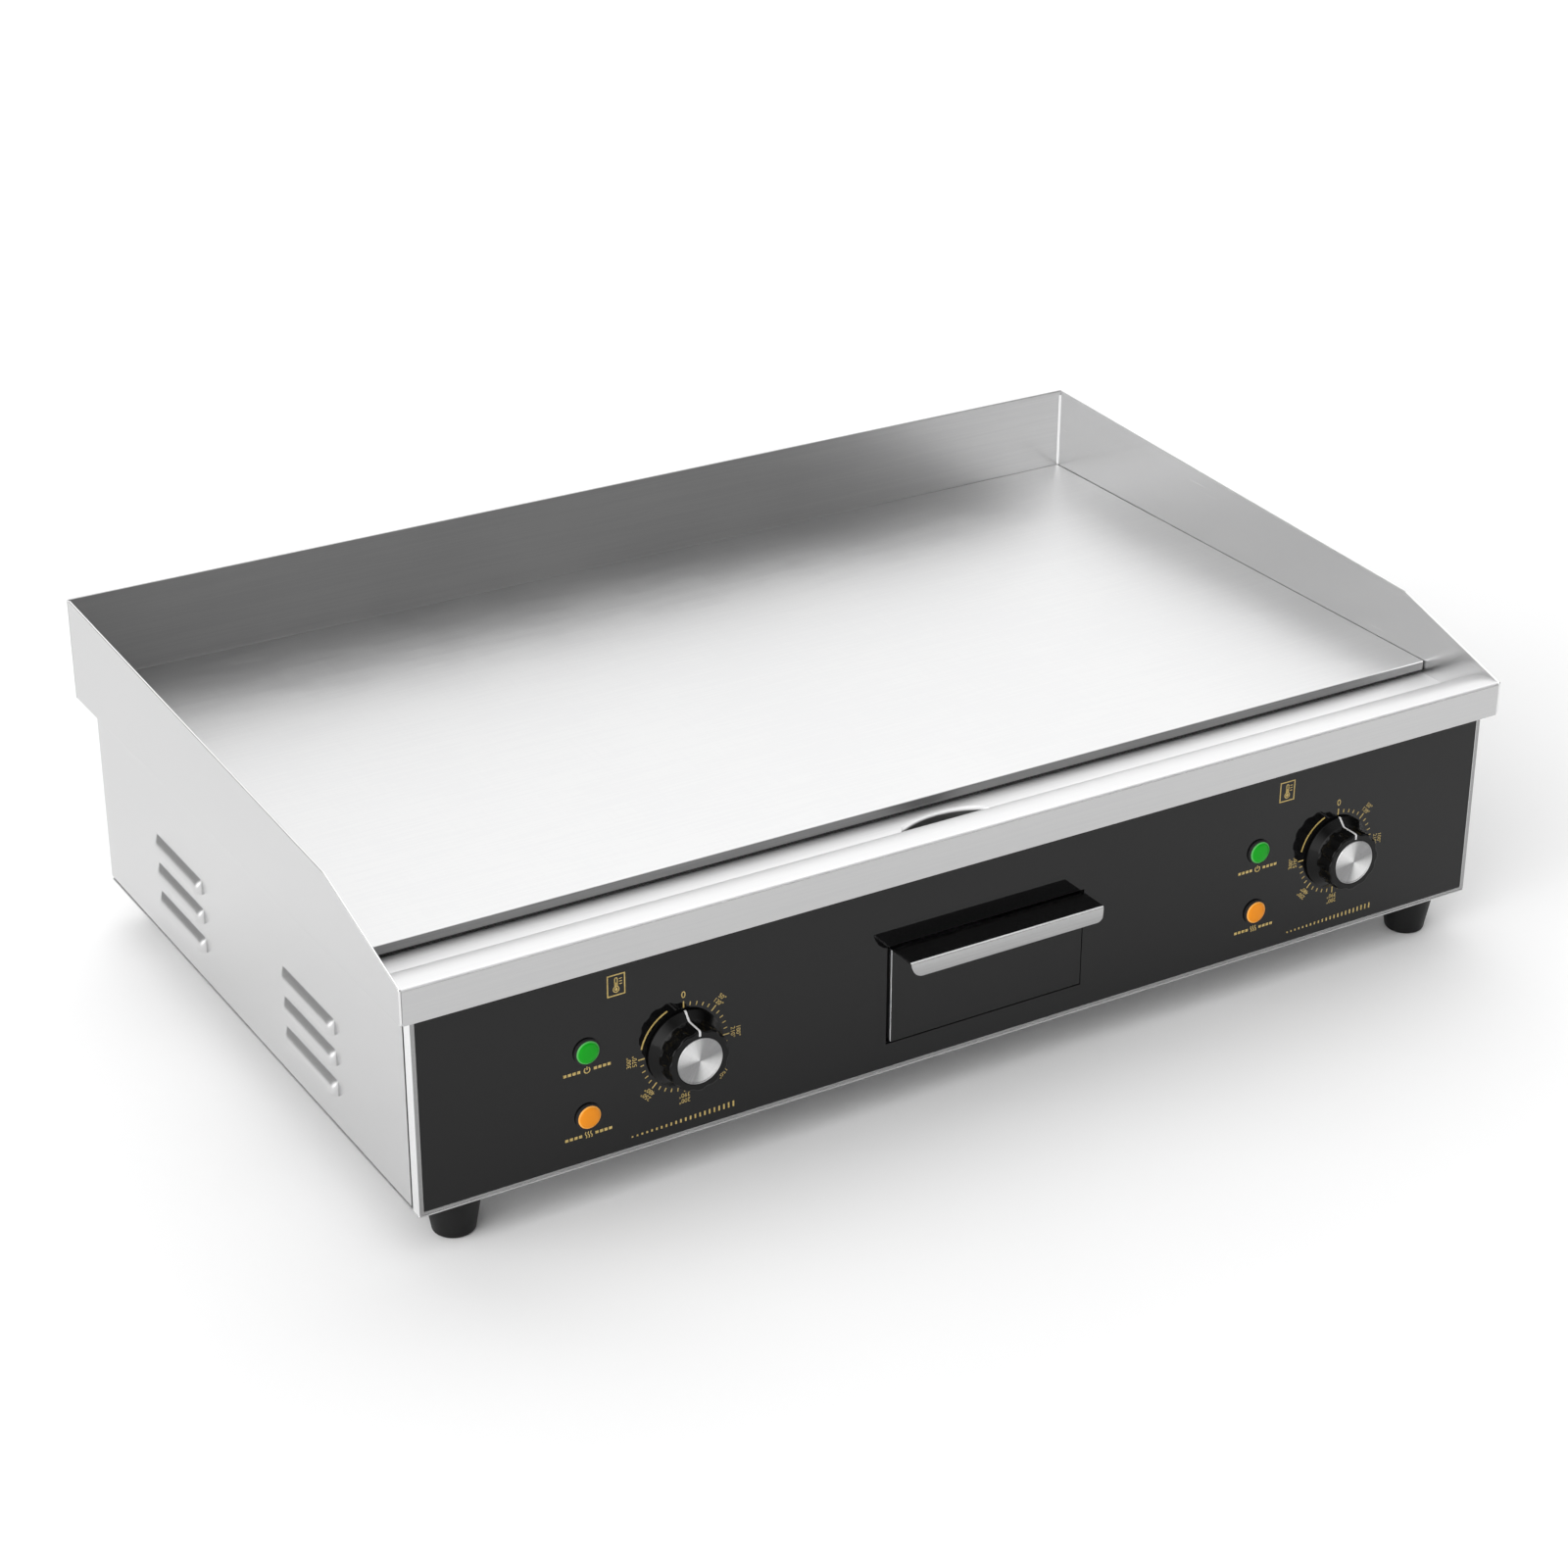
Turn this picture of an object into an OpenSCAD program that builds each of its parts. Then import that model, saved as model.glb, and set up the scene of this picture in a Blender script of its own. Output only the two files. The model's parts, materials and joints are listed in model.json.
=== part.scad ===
// Countertop electric griddle: a folded steel body on rubber feet, a thick cooking plate inside a
// three-sided splash guard with a drip gutter in front, a grease drawer and two thermostat zones.
// The origin is on the standing surface below the middle of the tray; +X is right, +Z is up, and
// the controls face -Y.

/* [Body] */
// Width of the body over its side panels
body_w = 715; // [705:1:760]
// Depth of the body from its front face to its rear panel
body_d = 442; // [436:1:480]
// Height of the body shell, without its feet
body_h = 121.5; // [120:0.5:135]
// Thickness of the folded body sheets
sheet_t = 1.2; // [0.8:0.1:1.5]
// Depth of the front frame's side returns
frame_return = 7.5; // [4:0.1:9]
// Width of the bright border around the control fascia
frame_border = 3; // [2:0.1:5]

/* [Tray] */
// Overhang of the tray past each side of the body
tray_side_over = 7.5; // [5:0.5:12]
// Overhang of the tray past the front of the body
tray_front_over = 6.2; // [4:0.1:10]
// Overhang of the tray past the rear of the body
tray_rear_over = 13.4; // [8:0.1:20]
// Thickness of the splash guard and gutter sheets
tray_t = 1.5; // [1:0.1:1.8]
// Height of the rear splash wall above the body's underside
rear_wall_h = 186.4; // [175:0.1:220]
// Height of the side walls at their kink
kink_h = 169.5; // [160:0.1:174]
// Distance of the side walls' kink behind the front lip
kink_back = 89.5; // [70:0.5:120]
// Height of the gutter's front lip above the body's underside
lip_h = 142.6; // [138:0.1:150]
// Drop of the tray's outer skirt below the top of the body
skirt_drop = 0.3; // [0:0.1:3]
// Slope of the gutter's front bank in degrees
bank_slope = 31; // [28:1:35]

/* [Cooking plate] */
// Thickness of the cooking plate
plate_t = 7.5; // [6:0.5:12]
// Distance from the front lip to the plate's front edge
gutter_w = 66.4; // [60:0.1:80]
// Distance from the front lip to the fold at the foot of the gutter's bank
fold_back = 50.2; // [46:0.1:54]

/* [Drain] */
// Sideways place of the drain slot's middle
drain_x = -1.5; // [-10:0.5:10]
// Length of the drain slot along the fold
drain_len = 60; // [40:1:70]
// Depth of the drain slot
drain_depth = 9.1; // [6:0.1:10]

/* [Feet] */
// Height of the rubber feet
foot_h = 26; // [22:1:40]
// Radius of a foot at its top
foot_top_r = 16.3; // [14:0.1:20]
// Radius of a foot at its bottom
foot_bottom_r = 12.2; // [11:0.1:13.5]
// Distance from a side of the body to a foot's axis
foot_inset_x = 28.6; // [24:0.1:34]
// Distance from the front or rear of the body to a foot's axis
foot_inset_y = 19.5; // [18:0.1:30]

/* [Controls] */
// Sideways place of the left dial
left_dial_x = -197.5; // [-205:0.5:-190]
// Sideways place of the right dial
right_dial_x = 250.5; // [240:0.5:258]
// Height of the dials above the body's underside
dial_h = 56; // [52:0.5:60]
// Distance from a dial's axis to its two lamps
lamp_side = 59; // [50:0.5:64]
// Height of a green lamp above its dial's axis
green_up = 15; // [12:0.5:20]
// Depth of an amber lamp below its dial's axis
amber_down = 25; // [16:0.5:28]
// Radius of a lamp's lens
lamp_r = 7.8; // [6.5:0.1:9]
// How far a lamp's lens stands proud
lamp_proud = 3; // [2:0.1:5]
// Radius of a knob's skirt
knob_skirt_r = 23; // [21:0.1:24]
// Radius of a knob's grip
knob_grip_r = 18.5; // [17:0.1:19.5]
// Length of a knob in front of the fascia
knob_len = 17.6; // [15:0.1:22]
// Number of flutes around a knob's grip
knob_flutes = 12; // [8:1:16]
// Radius of the metal cap in a knob's face
cap_r = 13.9; // [12:0.1:14.5]

/* [Drawer] */
// Width of the grease drawer's front
drawer_w = 130; // [120:1:140]
// Height of the grease drawer's front, with its handle
drawer_h = 60; // [56:0.5:62]
// Height of the drawer front's lower edge above the body's underside
drawer_low = 18.5; // [17:0.5:21]
// Gap to the left of the drawer front
drawer_gap = 3; // [2:0.1:4]
// Gap to the right of the drawer front and below it
drawer_play = 0.6; // [0.6:0.1:2]
// Gap above the drawer's handle
drawer_head = 1.8; // [1:0.1:3]
// Length of the drawer's box
drawer_len = 160; // [120:1:175]
// Reach of the drawer's folded handle
handle_reach = 19.4; // [15:0.1:25]
// Depth of the handle's front lip
handle_lip = 10.4; // [8:0.1:14]

/* [Heating] */
// Radius of a sheathed heating element
element_r = 4; // [3:0.1:4.5]
// Distance between the runs of an element
run_pitch = 60; // [54:1:62]

/* [Cable entry] */
// Sideways place of the cable gland
gland_x = 250; // [220:1:280]
// Height of the cable gland above the body's underside
gland_h = 40; // [30:1:60]
// Radius of the cable gland's bore
gland_bore_r = 5; // [4:0.1:5.5]
// How far the gland stands behind the rear panel
gland_proud = 26.6; // [24:0.1:30]

/* [Hidden] */
$fn = 64;

// Main planes of the assembly
tray_w = body_w + 2 * tray_side_over;
tray_d = body_d + tray_front_over + tray_rear_over;
tray_front = -tray_d / 2;
tray_rear = tray_d / 2;
front_y = tray_front + tray_front_over;
rear_y = front_y + body_d;
base_z = foot_h;
floor_z = base_z + sheet_t;
top_z = base_z + body_h;
skirt_z = top_z - skirt_drop;
wall_in_x = tray_w / 2 - tray_t;
wall_in_y = tray_rear - tray_t;

// Front of the body: the fascia lies in the frame's pan
fascia_t = 1.5;
web_front = front_y + fascia_t;
web_back = web_front + sheet_t;
panel_gap = 1.4;
side_front = front_y + frame_return + panel_gap;
flange = 9.5;
side_flange_low = 15;
side_flange_high = 20;
flange_x = body_w / 2 - side_flange_high - 2.5;

// Cooking plate and its supports
rail_t = 2.5;
rail_w = 20;
plate_z = top_z + rail_t;
plate_gap = 0.4;
plate_front = tray_front + gutter_w;
plate_rear = wall_in_y - 0.2;
gutter_floor = top_z + tray_t;
gutter_under = plate_front + 14.4;
fold_y = tray_front + fold_back;
crest_y = tray_front + tray_front_over;
lip_edge_r = 2;
lip_z = base_z + lip_h;

// Heating
runs = 6;
element_z = plate_z - element_r - 0.1;
run_first = plate_front + 39.4;
run_inner = 50;
run_outer = body_w / 2 - 62.5;
terminal_x = 83;
elbow_r = 12;
terminal_end = 104;
bar_t = 3;
bar_z = element_z - element_r - 0.1 - bar_t;
bar_w = 14;
bar_x = [130, 240];
stud_y = [for (i = [0, 2, 4]) run_first + (i + 0.5) * run_pitch];
stud_r = 3;
stud_len = 18.5;
nut_h = 5;
nut_across = 10;
shield_t = 0.8;
shield_z = base_z + 91;
shield_x = body_w / 2 - 21.5;
shield_front = plate_front + 4;
shield_rear = rear_y - 8;
blanket_t = 12;
bulb_r = 3;
bulb_y = run_first + 1.5 * run_pitch;
bulb_z = plate_z - bulb_r - 0.1;
capillary_r = 1;
capillary_x = 110;
cutout_y = run_first + 3.5 * run_pitch;
cutout_x = 185;
cutout_r = 8;

// Controls
dial_xs = [left_dial_x, right_dial_x];
dial_z = base_z + dial_h;
shaft_r = 3;
shaft_flat = 1.4;
run_clear = 0.05;
knob_back = front_y - 0.5;
knob_front = knob_back - knob_len + 0.5;
cap_t = 1.2;
screw_r = 2;
thermostat_screw_dx = 14;
thermostat_w = 36;
thermostat_h = 44;
bush_len = 9;
thermostat_front = web_back + bush_len;
thermostat_rear = thermostat_front + 33;
lamp_stem_r = 5;
lamp_body_end = web_back + 28;
lamp_tab_end = web_back + 35;
lamp_tab_dx = 3;
tab_dx = 10;
tab_len = 8;
tab_t = 0.8;

// Drawer
drawer_z = base_z + drawer_low;
face_t = 1.2;
pan_rim = 0.8;
drawer_top = drawer_z + drawer_h;
handle_t = 1.2;
pan_top = drawer_top - handle_t;
box_w = drawer_w - 9;
box_z = drawer_z + 3.7;
box_top = drawer_top - 4.5;
face_front = front_y + 0.1;
box_front = face_front + face_t + sheet_t;
box_rear = box_front + drawer_len;
box_t = 1;
pan_depth = 9;
ledge_z = box_z - 0.2;
rail_side = box_w / 2 + 0.5;
spout_t = 1;
spout_z = box_top + 2;

// Fasteners and the cable entry
hole_clear = 0.05;
foot_x = body_w / 2 - foot_inset_x;
foot_ys = [front_y + foot_inset_y, rear_y - foot_inset_y];
foot_bolt_r = 2.5;
body_screw_r = 1.9;
body_screw_places = concat(
    [for (x = [-1, 1], y = [-180, 0, 170]) [x * (body_w / 2 - 8), y]],
    [for (x = [-300, -110, 110, 300], y = [front_y + 7.5, rear_y - 6]) [x, y]]
);
gland_z = base_z + gland_h;
gland_thread_r = 8;
gland_hex_r = 12.7;
gland_end = rear_y + gland_proud;
stud_place = [300, 150];
block_place = [170, 150];

// Vents
louvre_len = 70;
louvre_h = 9.5;
louvre_proud = 3.8;
louvre_pitch = 19.2;
louvre_low = base_z + 28;
louvre_mids = [-91.5, 94.5];

// ---- Helpers ----

// Outline of a sheet of thickness t folded along points; the sheet lies left of the line
function unit(v) = v / norm(v);
function left_of(a, b) = [-unit(b - a).y, unit(b - a).x];
function mitre(p, i, t) =
    i == 0 ? t * left_of(p[0], p[1])
    : i == len(p) - 1 ? t * left_of(p[i - 1], p[i])
    : let (m = left_of(p[i - 1], p[i]), n = left_of(p[i], p[i + 1])) (m + n) * t / (1 + m * n);
function folded(p, t) = concat(p, [for (i = [len(p) - 1 : -1 : 0]) p[i] + mitre(p, i, t)]);

// Points on an arc from angle a to angle b
function arc(c, r, a, b, n) = [for (i = [0 : n]) let (t = a + (b - a) * i / n) c + r * [cos(t), sin(t)]];

// A flat outline in X and Z, drawn out along Y
module along_y(y0, y1) {
    translate([0, y1, 0]) rotate([90, 0, 0]) linear_extrude(y1 - y0) children();
}

// A flat outline in Y and Z, drawn out along X
module along_x(x0, x1) {
    translate([x0, 0, 0]) rotate([90, 0, 90]) linear_extrude(x1 - x0) children();
}

// A block given by two opposite corners
module block(a, b) {
    translate(a) cube(b - a);
}

// A round rod from y0 to y1 at x, z
module rod_y(x, z, r, y0, y1) {
    translate([x, y1, z]) rotate([90, 0, 0]) cylinder(r = r, h = y1 - y0);
}

// A round rod from z0 to z1 at x, y
module rod_z(x, y, r, z0, z1) {
    translate([x, y, z0]) cylinder(r = r, h = z1 - z0);
}

// Length that a bend of radius bend takes off each leg at point i of a route
function turn(p, i) = acos(unit(p[i] - p[i - 1]) * unit(p[i + 1] - p[i]));
function trim(p, i, bend) = i == 0 || i == len(p) - 1 ? 0 : bend * tan(turn(p, i) / 2);

// A wire or tube along a route whose legs run along the axes, with round bends at its inner points
module bent_rod(p, r, bend) {
    for (i = [0 : len(p) - 2]) {
        d = unit(p[i + 1] - p[i]);
        a = p[i] + d * trim(p, i, bend);
        b = p[i + 1] - d * trim(p, i + 1, bend);
        translate(a) rotate([0, acos(d.z), atan2(d.y, d.x)]) cylinder(r = r, h = norm(b - a));
    }
    for (i = [1 : len(p) - 2]) {
        u = unit(p[i] - p[i - 1]);
        w = unit(p[i + 1] - p[i]);
        n = unit(w - (w * u) * u);
        c = p[i] - u * trim(p, i, bend) + n * bend;
        z = cross(-n, u);
        multmatrix([[-n.x, u.x, z.x, c.x], [-n.y, u.y, z.y, c.y], [-n.z, u.z, z.z, c.z], [0, 0, 0, 1]])
            rotate_extrude(angle = turn(p, i)) translate([bend, 0]) circle(r = r);
    }
}

// A hexagonal nut standing on z at x, y
module hex_nut(x, y, z, across, h, bore_r) {
    translate([x, y, z]) difference() {
        cylinder(r = across / 2 / cos(30), h = h, $fn = 6);
        translate([0, 0, -1]) cylinder(r = bore_r, h = h + 2);
    }
}

// A row of round-ended slots along X, pitched along Y
module slot_rows(x, y, length, width, pitch, count, z0, z1) {
    for (i = [0 : count - 1]) {
        translate([x, y + i * pitch, z0]) linear_extrude(z1 - z0) union() {
            square([length - width, width], center = true);
            for (s = [-1, 1]) {
                translate([s * (length - width) / 2, 0]) circle(r = width / 2);
            }
        }
    }
}

// ---- Body ----

module base_plate() {
    color("silver") difference() {
        block([-body_w / 2, front_y, base_z], [body_w / 2, rear_y, floor_z]);
        for (x = [-foot_x, foot_x], y = foot_ys) {
            rod_z(x, y, foot_bolt_r + hole_clear, base_z - 1, floor_z + 1);
        }
        for (p = body_screw_places) {
            rod_z(p.x, p.y, body_screw_r + hole_clear, base_z - 1, floor_z + 1);
        }
        for (x = [-230, 230]) {
            slot_rows(x, -60, 70, 5, 12, 6, base_z - 1, floor_z + 1);
        }
        slot_rows(0, 60, 70, 5, 12, 6, base_z - 1, floor_z + 1);
    }
}

// A hooded vent pressed out of the left panel, open downwards
module louvre_hood() {
    along_y(-louvre_len / 2, louvre_len / 2) polygon([
        [0.4, 0.5], [-louvre_proud, 0.5], [-louvre_proud, louvre_h * 0.4],
        [-louvre_proud * 0.75, louvre_h * 0.8], [0, louvre_h], [0.4, louvre_h]
    ]);
}

module louvre_inside() {
    inset = 1;
    along_y(inset - louvre_len / 2, louvre_len / 2 - inset) polygon([
        [sheet_t + 1, 0], [-louvre_proud + inset, 0], [-louvre_proud + inset, louvre_h * 0.35],
        [-louvre_proud * 0.5, louvre_h * 0.7], [sheet_t + 1, louvre_h * 0.7]
    ]);
}

module at_louvres() {
    for (y = louvre_mids, i = [0 : 2]) {
        translate([-body_w / 2, y, louvre_low - louvre_h / 2 + i * louvre_pitch]) children();
    }
}

module side_panel() {
    half = body_w / 2;
    difference() {
        union() {
            along_y(side_front, rear_y) polygon(folded([
                [side_flange_high - half, top_z], [-half, top_z], [-half, floor_z],
                [side_flange_low - half, floor_z]
            ], sheet_t));
            at_louvres() louvre_hood();
        }
        at_louvres() louvre_inside();
        block(
            [sheet_t - half, rear_y - sheet_t, floor_z - 1],
            [side_flange_high + 1 - half, rear_y + 1, top_z + 1]
        );
        for (p = body_screw_places) {
            rod_z(p.x, p.y, body_screw_r + hole_clear, floor_z - 1, floor_z + sheet_t + 1);
        }
    }
}

module left_side_panel() {
    color("lightgray") side_panel();
}

module right_side_panel() {
    color("lightgray") mirror([1, 0, 0]) side_panel();
}

module rear_panel() {
    half = body_w / 2 - sheet_t;
    color("lightgray") difference() {
        union() {
            block([-half, rear_y - sheet_t, floor_z], [half, rear_y, top_z]);
            along_x(-flange_x, flange_x) polygon(folded([
                [rear_y - flange, floor_z], [rear_y, floor_z], [rear_y, top_z], [rear_y - flange, top_z]
            ], sheet_t));
        }
        rod_y(gland_x, gland_z, gland_thread_r + hole_clear, rear_y - 5, rear_y + 1);
        for (p = body_screw_places) {
            rod_z(p.x, p.y, body_screw_r + hole_clear, floor_z - 1, floor_z + sheet_t + 1);
        }
        for (x = [-150, 0, 150]) {
            translate([x, rear_y - sheet_t, base_z + 75]) rotate([90, 0, 0])
                slot_rows(0, -20, 90, 5, 11, 4, -5, 5);
        }
    }
}

// Holes that the fascia and the frame's web share, behind the knobs and lamps
module control_holes(y0, y1, shaft_hole, screw_hole) {
    for (x = dial_xs) {
        rod_y(x, dial_z, shaft_hole, y0, y1);
        for (s = [-1, 1]) {
            rod_y(x + s * thermostat_screw_dx, dial_z, screw_hole, y0, y1);
        }
        rod_y(x - lamp_side, dial_z + green_up, lamp_stem_r + hole_clear, y0, y1);
        rod_y(x - lamp_side, dial_z - amber_down, lamp_stem_r + hole_clear, y0, y1);
    }
    block(
        [-drawer_w / 2 - drawer_gap, y0, drawer_z - drawer_play],
        [drawer_w / 2 + drawer_play, y1, drawer_top + drawer_head]
    );
}

module front_frame() {
    half = body_w / 2;
    color("gainsboro") difference() {
        union() {
            difference() {
                block([-half, front_y, floor_z], [half, front_y + frame_return, top_z]);
                block(
                    [frame_border - half, front_y - 1, base_z + frame_border],
                    [half - frame_border, web_front, top_z - sheet_t]
                );
                block(
                    [frame_border - half, web_back, floor_z + sheet_t],
                    [half - frame_border, rear_y, top_z - sheet_t]
                );
            }
            along_x(-flange_x, flange_x) polygon(folded([
                [web_front + flange, top_z], [web_front, top_z], [web_front, floor_z],
                [web_front + flange, floor_z]
            ], sheet_t));
        }
        control_holes(front_y - 1, web_back + 1, 5.5, screw_r + hole_clear);
        for (p = body_screw_places) {
            rod_z(p.x, p.y, body_screw_r + hole_clear, floor_z - 1, floor_z + sheet_t + 1);
        }
    }
}

module control_fascia() {
    color([0.13, 0.13, 0.13]) difference() {
        block(
            [frame_border - body_w / 2, front_y, base_z + frame_border],
            [body_w / 2 - frame_border, web_front, top_z - sheet_t]
        );
        control_holes(front_y - 1, web_front + 1, 5.5, 4);
    }
}

// ---- Tray and splash guard ----

module rear_splash_wall() {
    color("lightgray")
        block([-tray_w / 2, wall_in_y, skirt_z], [tray_w / 2, tray_rear, base_z + rear_wall_h]);
}

module side_wall() {
    along_x(-tray_w / 2, -wall_in_x) polygon([
        [tray_front, skirt_z], [wall_in_y, skirt_z], [wall_in_y, base_z + rear_wall_h],
        [tray_front + kink_back, base_z + kink_h], [tray_front, base_z + lip_h]
    ]);
}

module left_splash_wall() {
    color("lightgray") side_wall();
}

module right_splash_wall() {
    color("lightgray") mirror([1, 0, 0]) side_wall();
}

// Top face of the gutter, from under the plate to the foot of the lip
bank_w = fold_y - crest_y;
bank_h = lip_z - gutter_floor;
bank_r = (bank_w * sin(bank_slope) - bank_h * cos(bank_slope)) / (1 - cos(bank_slope));
gutter_line = concat(
    [[gutter_under, gutter_floor], [fold_y, gutter_floor]],
    arc([crest_y, lip_z - bank_r], bank_r, 90 - bank_slope, 90, 8),
    arc([tray_front + lip_edge_r, lip_z - lip_edge_r], lip_edge_r, 90, 180, 6),
    [[tray_front, skirt_z]]
);

// The drain slot: a segment of a circle whose chord lies on the fold
module drain_outline(grow) {
    slot_r = (drain_len * drain_len / 4 + drain_depth * drain_depth) / (2 * drain_depth);
    intersection() {
        translate([drain_x, fold_y + drain_depth - slot_r]) circle(r = slot_r + grow, $fn = 180);
        translate([drain_x - drain_len, fold_y - grow]) square([2 * drain_len, 2 * drain_depth]);
    }
}

module drip_trough() {
    color("whitesmoke") difference() {
        along_x(-wall_in_x, wall_in_x) polygon(folded(gutter_line, tray_t));
        translate([0, 0, top_z - 1]) linear_extrude(tray_t + 2) drain_outline(0);
    }
}

module drain_spout() {
    color("silver") translate([0, 0, spout_z]) difference() {
        linear_extrude(top_z - spout_z) drain_outline(spout_t);
        translate([0, 0, -1]) linear_extrude(top_z - spout_z + 2) drain_outline(0);
    }
}

module plate_rails() {
    color("silver") {
        for (s = [0, 1]) {
            mirror([s, 0, 0]) block(
                [-wall_in_x, gutter_under + 0.2, top_z],
                [rail_w - wall_in_x, wall_in_y - rail_w - 0.2, plate_z]
            );
        }
        block([-wall_in_x, wall_in_y - rail_w, top_z], [wall_in_x, wall_in_y, plate_z]);
    }
}

module griddle_plate() {
    half = wall_in_x - plate_gap;
    color("whitesmoke") block([-half, plate_front, plate_z], [half, plate_rear, plate_z + plate_t]);
}

// ---- Heating ----

module plate_studs() {
    color("silver") for (x = bar_x, y = stud_y, s = [-1, 1]) {
        rod_z(s * x, y, stud_r, plate_z - stud_len, plate_z);
    }
}

module clamp_bars() {
    color("gray") for (x = bar_x, s = [-1, 1]) {
        difference() {
            block(
                [s * x - bar_w / 2, run_first - 20, bar_z],
                [s * x + bar_w / 2, run_first + (runs - 1) * run_pitch + 20, bar_z + bar_t]
            );
            for (y = stud_y) {
                rod_z(s * x, y, stud_r + hole_clear, bar_z - 1, bar_z + bar_t + 1);
            }
        }
    }
}

module clamp_nuts() {
    color("silver") for (x = bar_x, y = stud_y, s = [-1, 1]) {
        hex_nut(s * x, y, bar_z - nut_h, nut_across, nut_h, stud_r + hole_clear);
    }
}

// A straight run of element tube along X
module element_run(x0, x1, y) {
    translate([x0, y, element_z]) rotate([0, 90, 0]) cylinder(r = element_r, h = x1 - x0);
}

// A half-turn between two runs; side 1 bulges towards +X
module element_turn(x, y, side) {
    translate([x, y, element_z]) rotate([0, 0, side > 0 ? -90 : 90])
        rotate_extrude(angle = 180) translate([run_pitch / 2, 0]) circle(r = element_r);
}

// The end of a run turns down to its terminal
module element_end(y) {
    translate([terminal_x + elbow_r, y, element_z - elbow_r]) rotate([90, 0, 0]) rotate([0, 0, 90])
        rotate_extrude(angle = 90) translate([elbow_r, 0]) circle(r = element_r);
    rod_z(terminal_x, y, element_r, terminal_end, element_z - elbow_r);
    rod_z(terminal_x, y, 2, terminal_end - 8, terminal_end);
}

module heating_element() {
    last = runs - 1;
    for (i = [0 : last]) {
        y = run_first + i * run_pitch;
        at_end = i == 0 || i == last;
        element_run(at_end ? terminal_x + elbow_r : run_inner, run_outer, y);
        if (at_end) {
            element_end(y);
        }
    }
    for (i = [0 : last - 1]) {
        outward = i % 2 == 0;
        element_turn(outward ? run_outer : run_inner, run_first + (i + 0.5) * run_pitch, outward ? 1 : -1);
    }
}

module left_heating_element() {
    color("dimgray") mirror([1, 0, 0]) heating_element();
}

module right_heating_element() {
    color("dimgray") heating_element();
}

// Places of the four element terminals
terminal_places = [for (s = [-1, 1], i = [0, runs - 1]) [s * terminal_x, run_first + i * run_pitch]];
bush_r = 6;

module terminal_bushes() {
    color("ivory") for (p = terminal_places) {
        difference() {
            rod_z(p.x, p.y, bush_r, shield_z - 5, shield_z + shield_t + 4);
            rod_z(p.x, p.y, element_r + hole_clear, shield_z - 6, shield_z + shield_t + 5);
        }
    }
}

// Holes through the shield and the blanket for terminals and capillaries
module heat_holes() {
    for (p = terminal_places) {
        rod_z(p.x, p.y, bush_r + hole_clear, shield_z - 1, bar_z);
    }
    for (s = [-1, 1]) {
        rod_z(s * capillary_x, bulb_y, 3, shield_z - 1, bar_z);
    }
}

module heat_shield() {
    hem = 14;
    color("silver") difference() {
        along_y(shield_front, shield_rear) polygon(folded([
            [-shield_x - hem, top_z - sheet_t - shield_t], [-shield_x, top_z - sheet_t - shield_t],
            [-shield_x, shield_z], [shield_x, shield_z],
            [shield_x, top_z - sheet_t - shield_t], [shield_x + hem, top_z - sheet_t - shield_t]
        ], shield_t));
        heat_holes();
    }
}

module insulation_blanket() {
    half = shield_x - 2;
    color("antiquewhite") difference() {
        block(
            [-half, shield_front + 2, shield_z + shield_t],
            [half, shield_rear - 2, shield_z + shield_t + blanket_t]
        );
        heat_holes();
    }
}

// A thermostat's bulb lies under the plate and its tube leads down to the switch
module capillary(side, dial_x) {
    bulb_x = capillary_x + 30;
    below = shield_z - 7;
    color("peru") {
        translate([side > 0 ? bulb_x : -bulb_x - 90, bulb_y, bulb_z]) rotate([0, 90, 0])
            cylinder(r = bulb_r, h = 90);
        bent_rod([
            [side * bulb_x, bulb_y, bulb_z], [side * capillary_x, bulb_y, bulb_z],
            [side * capillary_x, bulb_y, below], [side * capillary_x, thermostat_rear + 32, below],
            [dial_x, thermostat_rear + 32, below],
            [dial_x, thermostat_rear + 32, dial_z + 10], [dial_x, thermostat_rear, dial_z + 10]
        ], capillary_r, 7);
    }
}

module left_capillary() {
    capillary(-1, left_dial_x);
}

module right_capillary() {
    capillary(1, right_dial_x);
}

module thermal_cutout(x) {
    top = plate_z - 0.1;
    color("tan") union() {
        rod_z(x, cutout_y, cutout_r, top - 9, top);
        rod_z(x, cutout_y, cutout_r + 2.5, top - 1, top);
        for (s = [-1, 1]) {
            block([x + s * 4 - 0.4, cutout_y - 3, top - 15], [x + s * 4 + 0.4, cutout_y + 3, top - 9]);
        }
    }
}

module left_thermal_cutout() {
    thermal_cutout(-cutout_x);
}

module right_thermal_cutout() {
    thermal_cutout(cutout_x);
}

// ---- Controls ----

// A D-shaped shaft along Y with its flat on top
module flat_shaft(x, r, y0, y1) {
    difference() {
        rod_y(x, dial_z, r, y0, y1);
        block([x - 5, y0 - 1, dial_z + shaft_flat + (r - shaft_r)], [x + 5, y1 + 1, dial_z + 5]);
    }
}

shaft_front = knob_front + 5;
shaft_rear = thermostat_front + 6;

module thermostat_shaft(x) {
    color("silver") union() {
        flat_shaft(x, shaft_r, shaft_front, web_front);
        rod_y(x, dial_z, shaft_r, web_front, shaft_rear);
    }
}

module left_thermostat_shaft() {
    thermostat_shaft(left_dial_x);
}

module right_thermostat_shaft() {
    thermostat_shaft(right_dial_x);
}

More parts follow.
